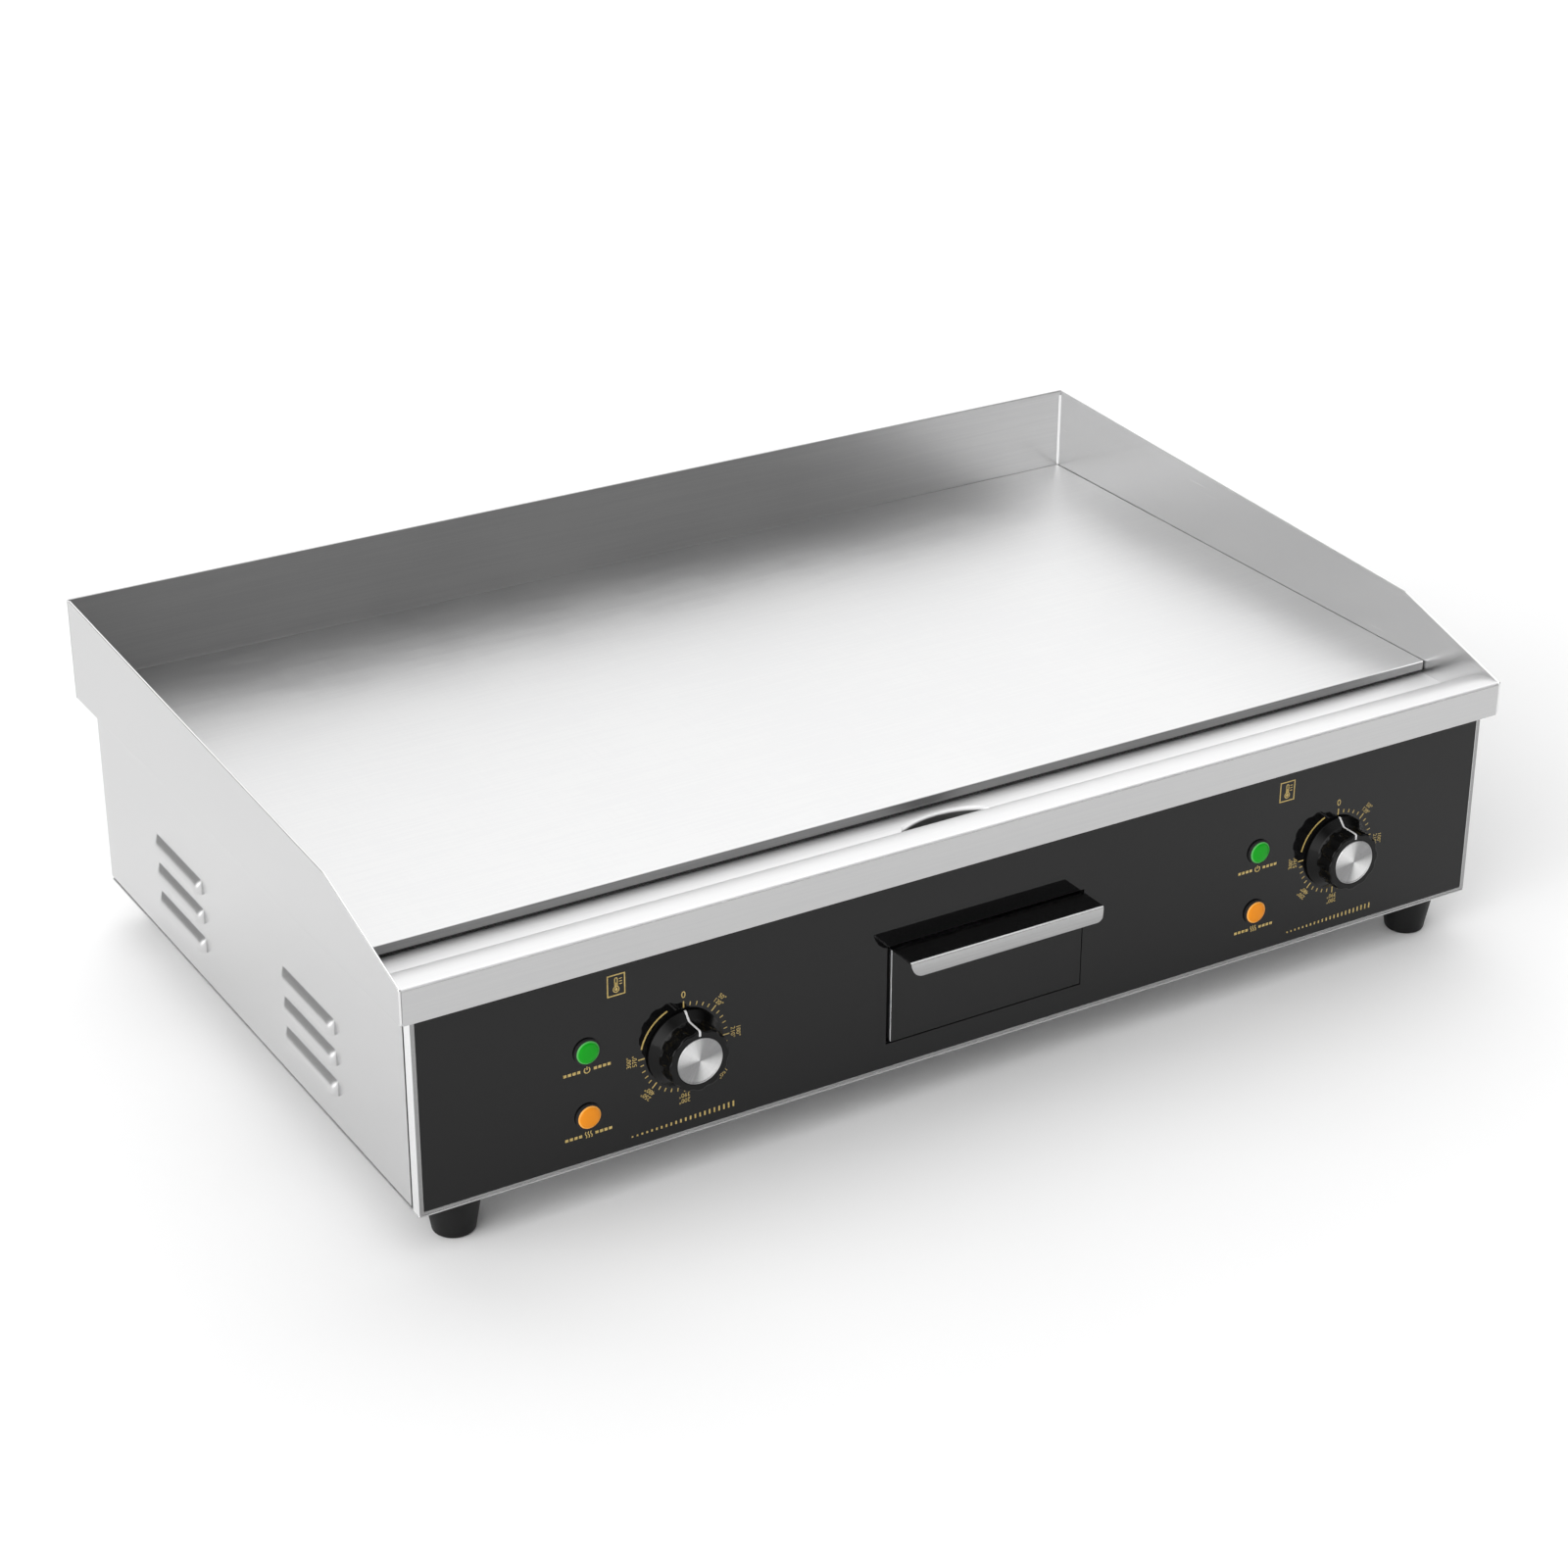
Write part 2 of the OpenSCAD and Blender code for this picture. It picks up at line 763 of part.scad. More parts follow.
module thermostat(x) {
    color("darkkhaki") difference() {
        union() {
            block(
                [x - thermostat_w / 2, thermostat_front, dial_z - thermostat_h / 2],
                [x + thermostat_w / 2, thermostat_rear, dial_z + thermostat_h / 2]
            );
            rod_y(x, dial_z, 5, web_back, thermostat_front);
            for (s = [-1, 1]) {
                rod_y(x + s * thermostat_screw_dx, dial_z, 4, web_back, thermostat_front);
                block(
                    [x + s * tab_dx - tab_t / 2, thermostat_rear, dial_z - 15],
                    [x + s * tab_dx + tab_t / 2, thermostat_rear + tab_len, dial_z - 9]
                );
            }
        }
        rod_y(x, dial_z, shaft_r + run_clear, web_back - 1, shaft_rear + 0.5);
        for (s = [-1, 1]) {
            rod_y(
                x + s * thermostat_screw_dx, dial_z, screw_r + hole_clear,
                web_back - 1, thermostat_front + 3
            );
        }
    }
}

module left_thermostat() {
    thermostat(left_dial_x);
}

module right_thermostat() {
    thermostat(right_dial_x);
}

module thermostat_screws() {
    color("silver") for (x = dial_xs, s = [-1, 1]) {
        rod_y(x + s * thermostat_screw_dx, dial_z, 3.6, web_front - 1.3, web_front);
        rod_y(x + s * thermostat_screw_dx, dial_z, screw_r, web_front, thermostat_front + 2);
    }
}

module knob(x) {
    skirt_edge = 1.6;
    slope_end = 5.6;
    flute_r = 7;
    flute_deep = 0.9;
    color([0.08, 0.08, 0.08]) difference() {
        translate([x, knob_back, dial_z]) rotate([90, 0, 0]) difference() {
            rotate_extrude($fn = 96) polygon([
                [0, 0], [knob_skirt_r, 0], [knob_skirt_r, skirt_edge], [knob_grip_r, slope_end],
                [knob_grip_r, knob_back - knob_front - 0.8], [knob_grip_r - 0.8, knob_back - knob_front],
                [0, knob_back - knob_front]
            ]);
            for (i = [0 : knob_flutes - 1]) {
                rotate([0, 0, (i + 0.5) * 360 / knob_flutes])
                    translate([knob_grip_r + flute_r - flute_deep, 0, slope_end + 0.4])
                    cylinder(r = flute_r, h = knob_len);
            }
            translate([0, 0, -1]) difference() {
                cylinder(r = knob_grip_r - 3, h = 10);
                cylinder(r = 7, h = 10);
            }
        }
        flat_shaft(x, shaft_r + 0.02, shaft_front - 0.1, knob_back + 1);
        rod_y(x, dial_z, cap_r + hole_clear, knob_front - 1, knob_front + cap_t);
    }
}

module left_knob() {
    knob(left_dial_x);
}

module right_knob() {
    knob(right_dial_x);
}

module knob_cap(x) {
    color("silver") rod_y(x, dial_z, cap_r, knob_front - 0.2, knob_front + cap_t);
}

module left_knob_cap() {
    knob_cap(left_dial_x);
}

module right_knob_cap() {
    knob_cap(right_dial_x);
}

// A lamp's coloured lens with its stem through the panel
module lens(x, z) {
    edge = 0.8;
    translate([x, front_y, z]) rotate([90, 0, 0]) rotate_extrude() polygon([
        [0, 0], [lamp_r, 0], [lamp_r, lamp_proud - edge], [lamp_r - edge, lamp_proud], [0, lamp_proud]
    ]);
    rod_y(x, z, lamp_stem_r, front_y, web_back);
}

module left_green_lens() {
    color("limegreen") lens(left_dial_x - lamp_side, dial_z + green_up);
}

module right_green_lens() {
    color("limegreen") lens(right_dial_x - lamp_side, dial_z + green_up);
}

module left_amber_lens() {
    color("orange") lens(left_dial_x - lamp_side, dial_z - amber_down);
}

module right_amber_lens() {
    color("orange") lens(right_dial_x - lamp_side, dial_z - amber_down);
}

module lamp_holders() {
    color("ivory") for (x = dial_xs, dz = [green_up, -amber_down]) {
        rod_y(x - lamp_side, dial_z + dz, 7.5, web_back, web_back + 4);
        rod_y(x - lamp_side, dial_z + dz, 5.5, web_back + 4, lamp_body_end);
        for (s = [-1, 1]) {
            block(
                [x - lamp_side + s * lamp_tab_dx - tab_t / 2, lamp_body_end, dial_z + dz - 2],
                [x - lamp_side + s * lamp_tab_dx + tab_t / 2, lamp_tab_end, dial_z + dz + 2]
            );
        }
    }
}

// ---- Grease drawer ----

module drawer_tray() {
    half = box_w / 2;
    color("silver") difference() {
        block([-half, box_front, box_z], [half, box_rear, box_top]);
        block(
            [box_t - half, box_front + box_t, box_z + box_t],
            [half - box_t, box_rear - box_t, box_top + 1]
        );
        for (x = [-40, 40]) {
            rod_y(x, drawer_z + drawer_h / 2, screw_r + hole_clear, box_front - 1, box_front + box_t + 1);
        }
    }
}

module drawer_front() {
    half = drawer_w / 2;
    color("gainsboro") difference() {
        block([-half, face_front + face_t, drawer_z], [half, front_y + pan_depth, pan_top]);
        block(
            [pan_rim - half, box_front, drawer_z + pan_rim],
            [half - pan_rim, front_y + pan_depth + 1, pan_top - pan_rim]
        );
        for (x = [-40, 40]) {
            rod_y(x, drawer_z + drawer_h / 2, screw_r + hole_clear, front_y, box_front + 1);
        }
    }
}

module drawer_face() {
    half = drawer_w / 2;
    color([0.13, 0.13, 0.13]) block([-half, face_front, drawer_z], [half, face_front + face_t, pan_top]);
}

module drawer_handle() {
    half = drawer_w / 2;
    corner = 4;
    reach_y = front_y - handle_reach;
    color("gainsboro") intersection() {
        along_x(-half, half) polygon(folded([
            [front_y + pan_depth, drawer_top], [reach_y, drawer_top], [reach_y, drawer_top - handle_lip]
        ], handle_t));
        along_y(reach_y - 1, front_y + pan_depth + 1) union() {
            translate([-half, drawer_top - handle_lip + corner]) square([2 * half, handle_lip]);
            translate([corner - half, drawer_top - handle_lip]) square([2 * (half - corner), handle_lip]);
            for (s = [-1, 1]) {
                translate([s * (half - corner), drawer_top - handle_lip + corner]) circle(r = corner);
            }
        }
    }
}

module drawer_screws() {
    color("silver") for (x = [-40, 40]) {
        rod_y(x, drawer_z + drawer_h / 2, 3.6, box_front + box_t, box_front + box_t + 2);
        rod_y(x, drawer_z + drawer_h / 2, screw_r, box_front - sheet_t, box_front + box_t);
    }
}

// A folded rail that carries one edge of the drawer, with a guide strip welded on its ledge
module drawer_rail() {
    rail_front = web_front + flange + 0.4;
    rail_rear = box_rear + 10;
    ledge = 8;
    web_x = rail_side + 4;
    foot_w = 14;
    guide_h = 14;
    along_y(rail_front, rail_rear) polygon(folded([
        [rail_side - ledge, ledge_z], [web_x, ledge_z],
        [web_x, floor_z + sheet_t], [web_x + foot_w, floor_z + sheet_t]
    ], -sheet_t));
    block([rail_side, rail_front, ledge_z], [rail_side + sheet_t, rail_rear, ledge_z + guide_h]);
}

module drawer_rail_left() {
    color("silver") mirror([1, 0, 0]) drawer_rail();
}

module drawer_rail_right() {
    color("silver") drawer_rail();
}

// ---- Supply ----

module terminal_block() {
    w = 56;
    d = 24;
    color("ivory") translate([block_place.x, block_place.y, floor_z]) difference() {
        block([-w / 2, -d / 2, 0], [w / 2, d / 2, 20]);
        for (i = [-1 : 1]) {
            translate([i * 17, 0, 12]) rotate([90, 0, 0]) cylinder(r = 3, h = d + 2, center = true);
            translate([i * 17, 0, 10]) cylinder(r = 2.5, h = 12);
        }
    }
}

module earth_stud() {
    color("goldenrod") union() {
        rod_z(stud_place.x, stud_place.y, 2.5, floor_z, floor_z + 18);
        rod_z(stud_place.x, stud_place.y, 5, floor_z, floor_z + 1);
        translate([stud_place.x, stud_place.y, floor_z + 1]) cylinder(r = 4.6, h = 4, $fn = 6);
    }
}

module cable_gland() {
    inner_end = rear_y - 12;
    hex_len = 6;
    nut_end = gland_end - 5;
    color([0.15, 0.15, 0.15]) difference() {
        union() {
            rod_y(gland_x, gland_z, gland_thread_r, inner_end, rear_y + 1);
            translate([gland_x, rear_y, gland_z]) rotate([-90, 0, 0])
                cylinder(r = gland_hex_r, h = hex_len, $fn = 6);
            rod_y(gland_x, gland_z, 11, rear_y + hex_len, nut_end);
            translate([gland_x, nut_end, gland_z]) rotate([-90, 0, 0])
                cylinder(r1 = 11, r2 = 7.5, h = gland_end - nut_end);
        }
        rod_y(gland_x, gland_z, gland_bore_r, inner_end - 1, gland_end + 1);
    }
}

module gland_nut() {
    nut_len = 5;
    color([0.15, 0.15, 0.15]) translate([gland_x, rear_y - sheet_t, gland_z]) rotate([90, 0, 0])
        difference() {
            cylinder(r = gland_hex_r, h = nut_len, $fn = 6);
            translate([0, 0, -1]) cylinder(r = gland_thread_r + hole_clear, h = nut_len + 2);
        }
}

module control_wires() {
    low = floor_z + 12;
    wire_r = 1.2;
    wire_bend = 5;
    color("firebrick") for (i = [0, 1]) {
        x = dial_xs[i];
        from = [block_place.x - 17 + 17 * i, block_place.y - 12, low];
        bent_rod([
            from, [from.x, 110 - 10 * i, low], [x - tab_dx, 110 - 10 * i, low],
            [x - tab_dx, thermostat_rear + 20, low], [x - tab_dx, thermostat_rear + 20, dial_z - 12],
            [x - tab_dx, thermostat_rear + tab_len, dial_z - 12]
        ], wire_r, wire_bend);
        lamp_x = x - lamp_side + lamp_tab_dx;
        bent_rod([
            [lamp_x, lamp_tab_end, dial_z + green_up], [lamp_x, lamp_tab_end + 10, dial_z + green_up],
            [lamp_x, lamp_tab_end + 10, dial_z - amber_down], [lamp_x, lamp_tab_end, dial_z - amber_down]
        ], wire_r, wire_bend);
    }
}

// ---- Feet and fasteners ----

module foot(x, y) {
    edge = 2.2;
    recess_r = 6.5;
    recess_h = 12;
    color([0.1, 0.1, 0.1]) translate([x, y, 0]) difference() {
        rotate_extrude() polygon(concat(
            [[0, 0]], arc([foot_bottom_r - edge, edge], edge, -90, 0, 6), [[foot_top_r, base_z], [0, base_z]]
        ));
        translate([0, 0, -1]) cylinder(r = recess_r, h = recess_h + 1);
        translate([0, 0, -1]) cylinder(r = foot_bolt_r + hole_clear, h = base_z + 2);
    }
}

module foot_front_left() {
    foot(-foot_x, foot_ys[0]);
}

module foot_front_right() {
    foot(foot_x, foot_ys[0]);
}

module foot_rear_left() {
    foot(-foot_x, foot_ys[1]);
}

module foot_rear_right() {
    foot(foot_x, foot_ys[1]);
}

module foot_bolts() {
    color("silver") for (x = [-foot_x, foot_x], y = foot_ys) {
        rod_z(x, y, 5, 8, 12);
        rod_z(x, y, foot_bolt_r, 12, floor_z + 6);
    }
}

module foot_nuts() {
    color("silver") for (x = [-foot_x, foot_x], y = foot_ys) {
        hex_nut(x, y, floor_z, 8, 4, foot_bolt_r + hole_clear);
    }
}

module body_screws() {
    color("silver") for (p = body_screw_places) {
        rod_z(p.x, p.y, 3.5, base_z - 2, base_z);
        rod_z(p.x, p.y, body_screw_r, base_z, floor_z + 6);
    }
}

base_plate();
left_side_panel();
right_side_panel();
rear_panel();
front_frame();
control_fascia();
rear_splash_wall();
left_splash_wall();
right_splash_wall();
drip_trough();
plate_rails();
griddle_plate();
plate_studs();
drain_spout();
drawer_rail_left();
drawer_rail_right();
drawer_tray();
drawer_front();
drawer_face();
drawer_handle();
drawer_screws();
left_knob();
right_knob();
left_knob_cap();
right_knob_cap();
left_thermostat_shaft();
right_thermostat_shaft();
left_thermostat();
right_thermostat();
thermostat_screws();
left_capillary();
right_capillary();
left_thermal_cutout();
right_thermal_cutout();
left_green_lens();
right_green_lens();
left_amber_lens();
right_amber_lens();
lamp_holders();
left_heating_element();
right_heating_element();
terminal_bushes();
clamp_bars();
clamp_nuts();
heat_shield();
insulation_blanket();
terminal_block();
earth_stud();
cable_gland();
gland_nut();
foot_front_left();
foot_front_right();
foot_rear_left();
foot_rear_right();
foot_bolts();
foot_nuts();
body_screws();
control_wires();
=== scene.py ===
import json
from math import asin, atan2, cos, degrees, hypot, pi, radians, sin, sqrt, tan

import bmesh
import bpy
from mathutils import Matrix, Vector
from mathutils.geometry import tessellate_polygon

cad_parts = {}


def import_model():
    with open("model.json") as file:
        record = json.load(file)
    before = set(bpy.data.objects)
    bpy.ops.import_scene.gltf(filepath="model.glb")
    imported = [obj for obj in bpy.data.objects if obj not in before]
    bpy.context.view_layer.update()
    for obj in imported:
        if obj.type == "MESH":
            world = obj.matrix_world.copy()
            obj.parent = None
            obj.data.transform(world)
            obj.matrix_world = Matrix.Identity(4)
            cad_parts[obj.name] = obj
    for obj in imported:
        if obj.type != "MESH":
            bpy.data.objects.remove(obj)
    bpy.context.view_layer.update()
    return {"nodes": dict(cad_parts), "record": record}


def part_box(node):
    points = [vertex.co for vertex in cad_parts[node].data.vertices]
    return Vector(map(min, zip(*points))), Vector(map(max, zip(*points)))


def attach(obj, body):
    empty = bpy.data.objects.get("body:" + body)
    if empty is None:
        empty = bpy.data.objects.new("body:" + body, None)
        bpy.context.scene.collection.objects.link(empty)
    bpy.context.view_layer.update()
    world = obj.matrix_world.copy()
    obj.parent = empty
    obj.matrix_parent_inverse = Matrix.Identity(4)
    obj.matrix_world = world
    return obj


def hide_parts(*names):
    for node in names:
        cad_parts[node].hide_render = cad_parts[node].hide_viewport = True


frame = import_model()

# Electric griddle. Lengths below are millimetres in the frame's axes: +X right, +Z up, controls on -Y.
MM = 0.001
TAU = 2 * pi


# ---- Outlines ----

def box(node):
    """Lowest and highest corner of a CAD node, in millimetres."""
    low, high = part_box(node)
    return Vector(low) / MM, Vector(high) / MM


def middle(node):
    low, high = box(node)
    return (low + high) / 2


def arc(cx, cy, radius, start, end, steps=8):
    """Points on an arc between two angles in degrees."""
    angles = [radians(start + (end - start) * i / steps) for i in range(steps + 1)]
    return [Vector((cx + radius * cos(a), cy + radius * sin(a))) for a in angles]


def circle(cx, cy, radius, steps=48):
    return arc(cx, cy, radius, 0, 360, steps)[:-1]


def rect(u0, v0, u1, v1):
    return [Vector((u0, v0)), Vector((u1, v0)), Vector((u1, v1)), Vector((u0, v1))]


def front_of(low, high, inset=0):
    """A box's outline in X and Z, drawn in on every side."""
    return rect(low.x + inset, low.z + inset, high.x - inset, high.z - inset)


def plan_of(low, high):
    return rect(low.x, low.y, high.x, high.y)


def rounded(points, radius, steps=5):
    """A closed outline with round corners; radius is one number, or a list with one for each corner."""
    out = []
    for i, point in enumerate(points):
        r = radius[i] if isinstance(radius, list) else radius
        here = Vector(point)
        back = (Vector(points[i - 1]) - here).normalized()
        ahead = (Vector(points[(i + 1) % len(points)]) - here).normalized()
        half = back.angle(ahead) / 2
        if r <= 0 or half > radians(89.8):
            out.append(here)
            continue
        centre = here + (back + ahead).normalized() * r / sin(half)
        arm = here + back * r / tan(half) - centre
        sweep = (pi - 2 * half) * (1 if back.cross(ahead) < 0 else -1)
        for k in range(steps + 1):
            c, s = cos(sweep * k / steps), sin(sweep * k / steps)
            out.append(centre + Vector((arm.x * c - arm.y * s, arm.x * s + arm.y * c)))
    return out


def slot_hole(cx, cy, length, height, steps=10):
    """A round-ended slot lying along u."""
    reach = (length - height) / 2
    return (arc(cx + reach, cy, height / 2, -90, 90, steps)
            + arc(cx - reach, cy, height / 2, 90, 270, steps))


def folded(line, thick, bend, edge=0.2):
    """Outline of a sheet that lies left of a fold line; bend is the inside radius of its folds."""
    line = [Vector(p) for p in line]
    last = len(line) - 1
    lefts = []
    for a, b in zip(line, line[1:]):
        d = (b - a).normalized()
        lefts.append(Vector((-d.y, d.x)))
    other, near, far = [], [], []
    for i, point in enumerate(line):
        if i in (0, last):
            other.append(point + lefts[min(i, last - 1)] * thick)
            near.append(edge)
            far.append(edge)
            continue
        a, b = lefts[i - 1], lefts[i]
        other.append(point + (a + b) * thick / (1 + a.dot(b)))
        inside = (a.cross(b) > 0) == (thick > 0)
        near.append(bend + abs(thick) if inside else bend)
        far.append(bend if inside else bend + abs(thick))
    return rounded(line + other[::-1], near + far[::-1])


def wound(loop, anticlockwise):
    """A closed outline in the direction asked for."""
    area = sum(a.cross(b) for a, b in zip(loop, loop[1:] + loop[:1]))
    return loop if (area > 0) == anticlockwise else loop[::-1]


def ways_along(line):
    """The direction of an open line at each of its points."""
    return [(line[min(i + 1, len(line) - 1)] - line[max(i - 1, 0)]).normalized() for i in range(len(line))]


def offset(loop, distance):
    """A closed outline moved to its left."""
    out = []
    for i, point in enumerate(loop):
        a = (point - loop[i - 1]).normalized()
        b = (loop[(i + 1) % len(loop)] - point).normalized()
        a, b = Vector((-a.y, a.x)), Vector((-b.y, b.x))
        out.append(point + (a + b) * distance / max(1 + a.dot(b), 0.3))
    return out


# ---- Solids: each is (corners, faces) in millimetres ----

def lying(u, v, w):
    """A plan outline, thick along Z."""
    return Vector((u, v, w))


def facing(u, v, w):
    """An outline in X and Z, thick along Y."""
    return Vector((u, w, v))


def sideways(u, v, w):
    """An outline in Y and Z, thick along X."""
    return Vector((w, u, v))


def edge_rings(w0, w1, low, high, steps):
    """Inset and height of each ring across a plate whose two edges are rounded."""
    turns = [pi / 2 * k / steps for k in range(steps + 1)]
    bottom = [(low * (1 - sin(a)), w0 + low * (1 - cos(a))) for a in turns] if low else [(0, w0)]
    top = [(high * (1 - cos(a)), w1 - high * (1 - sin(a))) for a in turns] if high else [(0, w1)]
    return bottom + top


def slab(outline, w0, w1, place, holes=(), edge=0.25, hole_edge=None, steps=3):
    """A flat plate between w0 and w1 with holes; edge is the radius of its low and high edges."""
    edge = edge if isinstance(edge, tuple) else (edge, edge)
    hole_edge = edge if hole_edge is None else hole_edge
    loops = [wound(outline, True)] + [wound(hole, False) for hole in holes]
    corners, faces, low_cap, high_cap = [], [], [], []
    for number, loop in enumerate(loops):
        rings = edge_rings(w0, w1, *(hole_edge if number else edge), steps)
        first, count = len(corners), len(loop)
        flat = [offset(loop, inset) if inset else loop for inset, _ in rings]
        for points, (_, w) in zip(flat, rings):
            corners += [place(p.x, p.y, w) for p in points]
        for r in range(len(rings) - 1):
            for i in range(count):
                a, b = first + r * count + i, first + r * count + (i + 1) % count
                faces.append((a, b, b + count, a + count))
        top_ring = first + (len(rings) - 1) * count
        low_cap.append((flat[0], range(first, first + count)))
        high_cap.append((flat[-1], range(top_ring, top_ring + count)))
    for cap in (low_cap, high_cap):
        index = [i for _, numbers in cap for i in numbers]
        for triangle in tessellate_polygon([[p.to_3d() for p in points] for points, _ in cap]):
            faces.append(tuple(index[k] for k in triangle))
    return corners, faces


def loft(rings, tube=False):
    """A closed skin through rings of the same number of points; a tube's last ring joins its first."""
    count = len(rings[0])
    corners = [p for ring in rings for p in ring]
    faces = []
    for r in range(len(rings) if tube else len(rings) - 1):
        here, there = r * count, (r + 1) % len(rings) * count
        for i in range(count):
            j = (i + 1) % count
            faces.append((here + i, here + j, there + j, there + i))
    if not tube:
        faces.append(tuple(range(count)))
        faces.append(tuple(range(len(corners) - count, len(corners))))
    return corners, faces


def turned(profile, place, segments=64, shape=None, tube=False):
    """A turned solid from (radius, height) points; shape(angle, radius, height) may change a radius."""
    rings = []
    for radius, height in profile:
        ring = []
        for i in range(segments):
            a = TAU * i / segments
            r = shape(a, radius, height) if shape else radius
            ring.append(place(r * cos(a), r * sin(a), height))
        rings.append(ring)
    return loft(rings, tube)


def towards_cook(at, face_y):
    """Places a turned solid's heights from face_y towards the cook, round an axis through at."""
    return lambda u, v, w: Vector((at.x + u, face_y - w, at.z + v))


def grid_skin(outer, inner):
    """A closed sheet between two grids of points, given as equal rows."""
    rows, columns = len(outer), len(outer[0])
    corners = [p for row in outer for p in row] + [p for row in inner for p in row]
    half = rows * columns
    faces = []
    for r in range(rows - 1):
        for c in range(columns - 1):
            a = r * columns + c
            faces.append((a, a + 1, a + 1 + columns, a + columns))
            faces.append((half + a, half + a + columns, half + a + 1 + columns, half + a + 1))
    rim = list(range(columns))
    rim += [r * columns + columns - 1 for r in range(1, rows)]
    rim += [(rows - 1) * columns + c for c in range(columns - 2, -1, -1)]
    rim += [r * columns for r in range(rows - 2, 0, -1)]
    for a, b in zip(rim, rim[1:] + rim[:1]):
        faces.append((a, b, half + b, half + a))
    return corners, faces


def smooth(x, low, high):
    """0 below low, 1 above high and a smooth step between."""
    t = min(max((x - low) / (high - low), 0), 1)
    return t * t * (3 - 2 * t)


# ---- Pieces ----

def place_object(name, data):
    made = bpy.data.objects.new(name, data)
    bpy.context.scene.collection.objects.link(made)
    return made


def piece(name, solids, stands_for=(), slot="steel_body", finish=None, sharp=38, body="housing"):
    """Makes one object from solids, in its slot's finish or another, and ties it to its CAD body."""
    corners, faces = [], []
    for points, polygons in solids:
        first = len(corners)
        corners += [p * MM for p in points]
        faces += [[first + i for i in polygon] for polygon in polygons]
    mesh = bpy.data.meshes.new(name)
    mesh.from_pydata(corners, [], faces)
    work = bmesh.new()
    work.from_mesh(mesh)
    bmesh.ops.recalc_face_normals(work, faces=work.faces)
    work.to_mesh(mesh)
    work.free()
    mesh.polygons.foreach_set("use_smooth", [True] * len(mesh.polygons))
    mesh.set_sharp_from_angle(angle=radians(sharp))
    mesh.materials.append(finish or finishes[slot])
    made = place_object(name, mesh)
    normals = made.modifiers.new("normals", "WEIGHTED_NORMAL")
    normals.keep_sharp = True
    normals.weight = 70
    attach(made, body)
    if stands_for:
        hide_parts(*stands_for)
    return made


def refinish(made, finish, chosen):
    """Gives another finish to the faces of a piece for which chosen(spot, normal) is true."""
    number = len(made.data.materials)
    made.data.materials.append(finish)
    for polygon in made.data.polygons:
        if chosen(polygon.center / MM, polygon.normal):
            polygon.material_index = number


# ---- Materials ----

def add(tree, kind, inputs=None, **settings):
    """A shader node with its settings, and inputs that are values or other nodes' sockets."""
    made = tree.nodes.new("ShaderNode" + kind)
    for key, value in settings.items():
        setattr(made, key, value)
    for key, value in (inputs or {}).items():
        if isinstance(value, bpy.types.NodeSocket):
            tree.links.new(value, made.inputs[key])
        else:
            made.inputs[key].default_value = value
    return made


def vector_math(tree, operation, a, b=None, out="Vector"):
    inputs = {0: a} if b is None else {0: a, 1: b}
    return add(tree, "VectorMath", inputs, operation=operation).outputs[out]


def from_point(tree, point):
    """The vector from a point in millimetres to the shaded place, in metres."""
    return vector_math(tree, "SUBTRACT", add(tree, "TexCoord").outputs["Object"], tuple(point * MM))


def noise(tree, scale, detail=3, stretch=(1, 1, 1), roughness=0.5):
    """Noise in the frame's own axes, in metres; stretch multiplies its frequency along each."""
    place = add(tree, "TexCoord").outputs["Object"]
    place = add(tree, "Mapping", {"Vector": place, "Scale": stretch}).outputs["Vector"]
    inputs = {"Vector": place, "Scale": scale, "Detail": detail, "Roughness": roughness}
    return add(tree, "TexNoise", inputs).outputs["Fac"]


def spread(tree, value, low, high, start=0.3, end=0.7):
    """A 0 to 1 pattern turned into values from low to high."""
    inputs = {"Value": value, "From Min": start, "From Max": end, "To Min": low, "To Max": high}
    return add(tree, "MapRange", inputs).outputs["Result"]


def blend_colour(tree, value, low, high):
    ramp = add(tree, "ValToRGB", {"Fac": value})
    for element, position, colour in zip(ramp.color_ramp.elements, (0.3, 0.7), (low, high)):
        element.position, element.color = position, (*colour, 1)
    return ramp.outputs["Color"]


def total(tree, a, b, share):
    """a plus b times share."""
    return add(tree, "Math", {0: b, 1: share, 2: a}, operation="MULTIPLY_ADD").outputs["Value"]


def bumped(tree, height, strength, depth):
    return add(tree, "Bump", {"Height": height, "Strength": strength, "Distance": depth})


def new_finish(name, **values):
    """A material whose uniform values sit on the shader's own sockets."""
    made = bpy.data.materials.new(name)
    made.use_nodes = True
    shader = made.node_tree.nodes["Principled BSDF"]
    for key, value in values.items():
        shader.inputs[key.replace("_", " ")].default_value = value
    return made, made.node_tree, shader


def wire(tree, shader, colour=None, rough=None, normal=None):
    if colour is not None:
        tree.links.new(colour, shader.inputs["Base Color"])
    if rough is not None:
        tree.links.new(rough, shader.inputs["Roughness"])
    if normal is not None:
        tree.links.new(normal.outputs["Normal"], shader.inputs["Normal"])


def grey(value):
    return (value, value, value)


def brushed(name, tone, rough, along, lines=900, bump=0.12, contrast=0.012, smear=0.02):
    """Brushed steel: fine lines along one axis, with faint wide smears."""
    made, tree, shader = new_finish(name, Metallic=1.0)
    stretch = tuple(0.012 if axis == along else 1.0 for axis in "xyz")
    grain = noise(tree, lines, 4, stretch, 0.6)
    wide = noise(tree, 7, 2)
    mixed = total(tree, grain, wide, 0.35)
    low, high = tone - contrast, tone + contrast
    colour = blend_colour(tree, spread(tree, mixed, 0, 1, 0.45, 0.9), (low, low, low * 1.005), grey(high))
    roughness = spread(tree, mixed, rough - smear, rough + smear, 0.4, 0.95)
    wire(tree, shader, colour, roughness, bumped(tree, grain, bump, 0.00002))
    return made


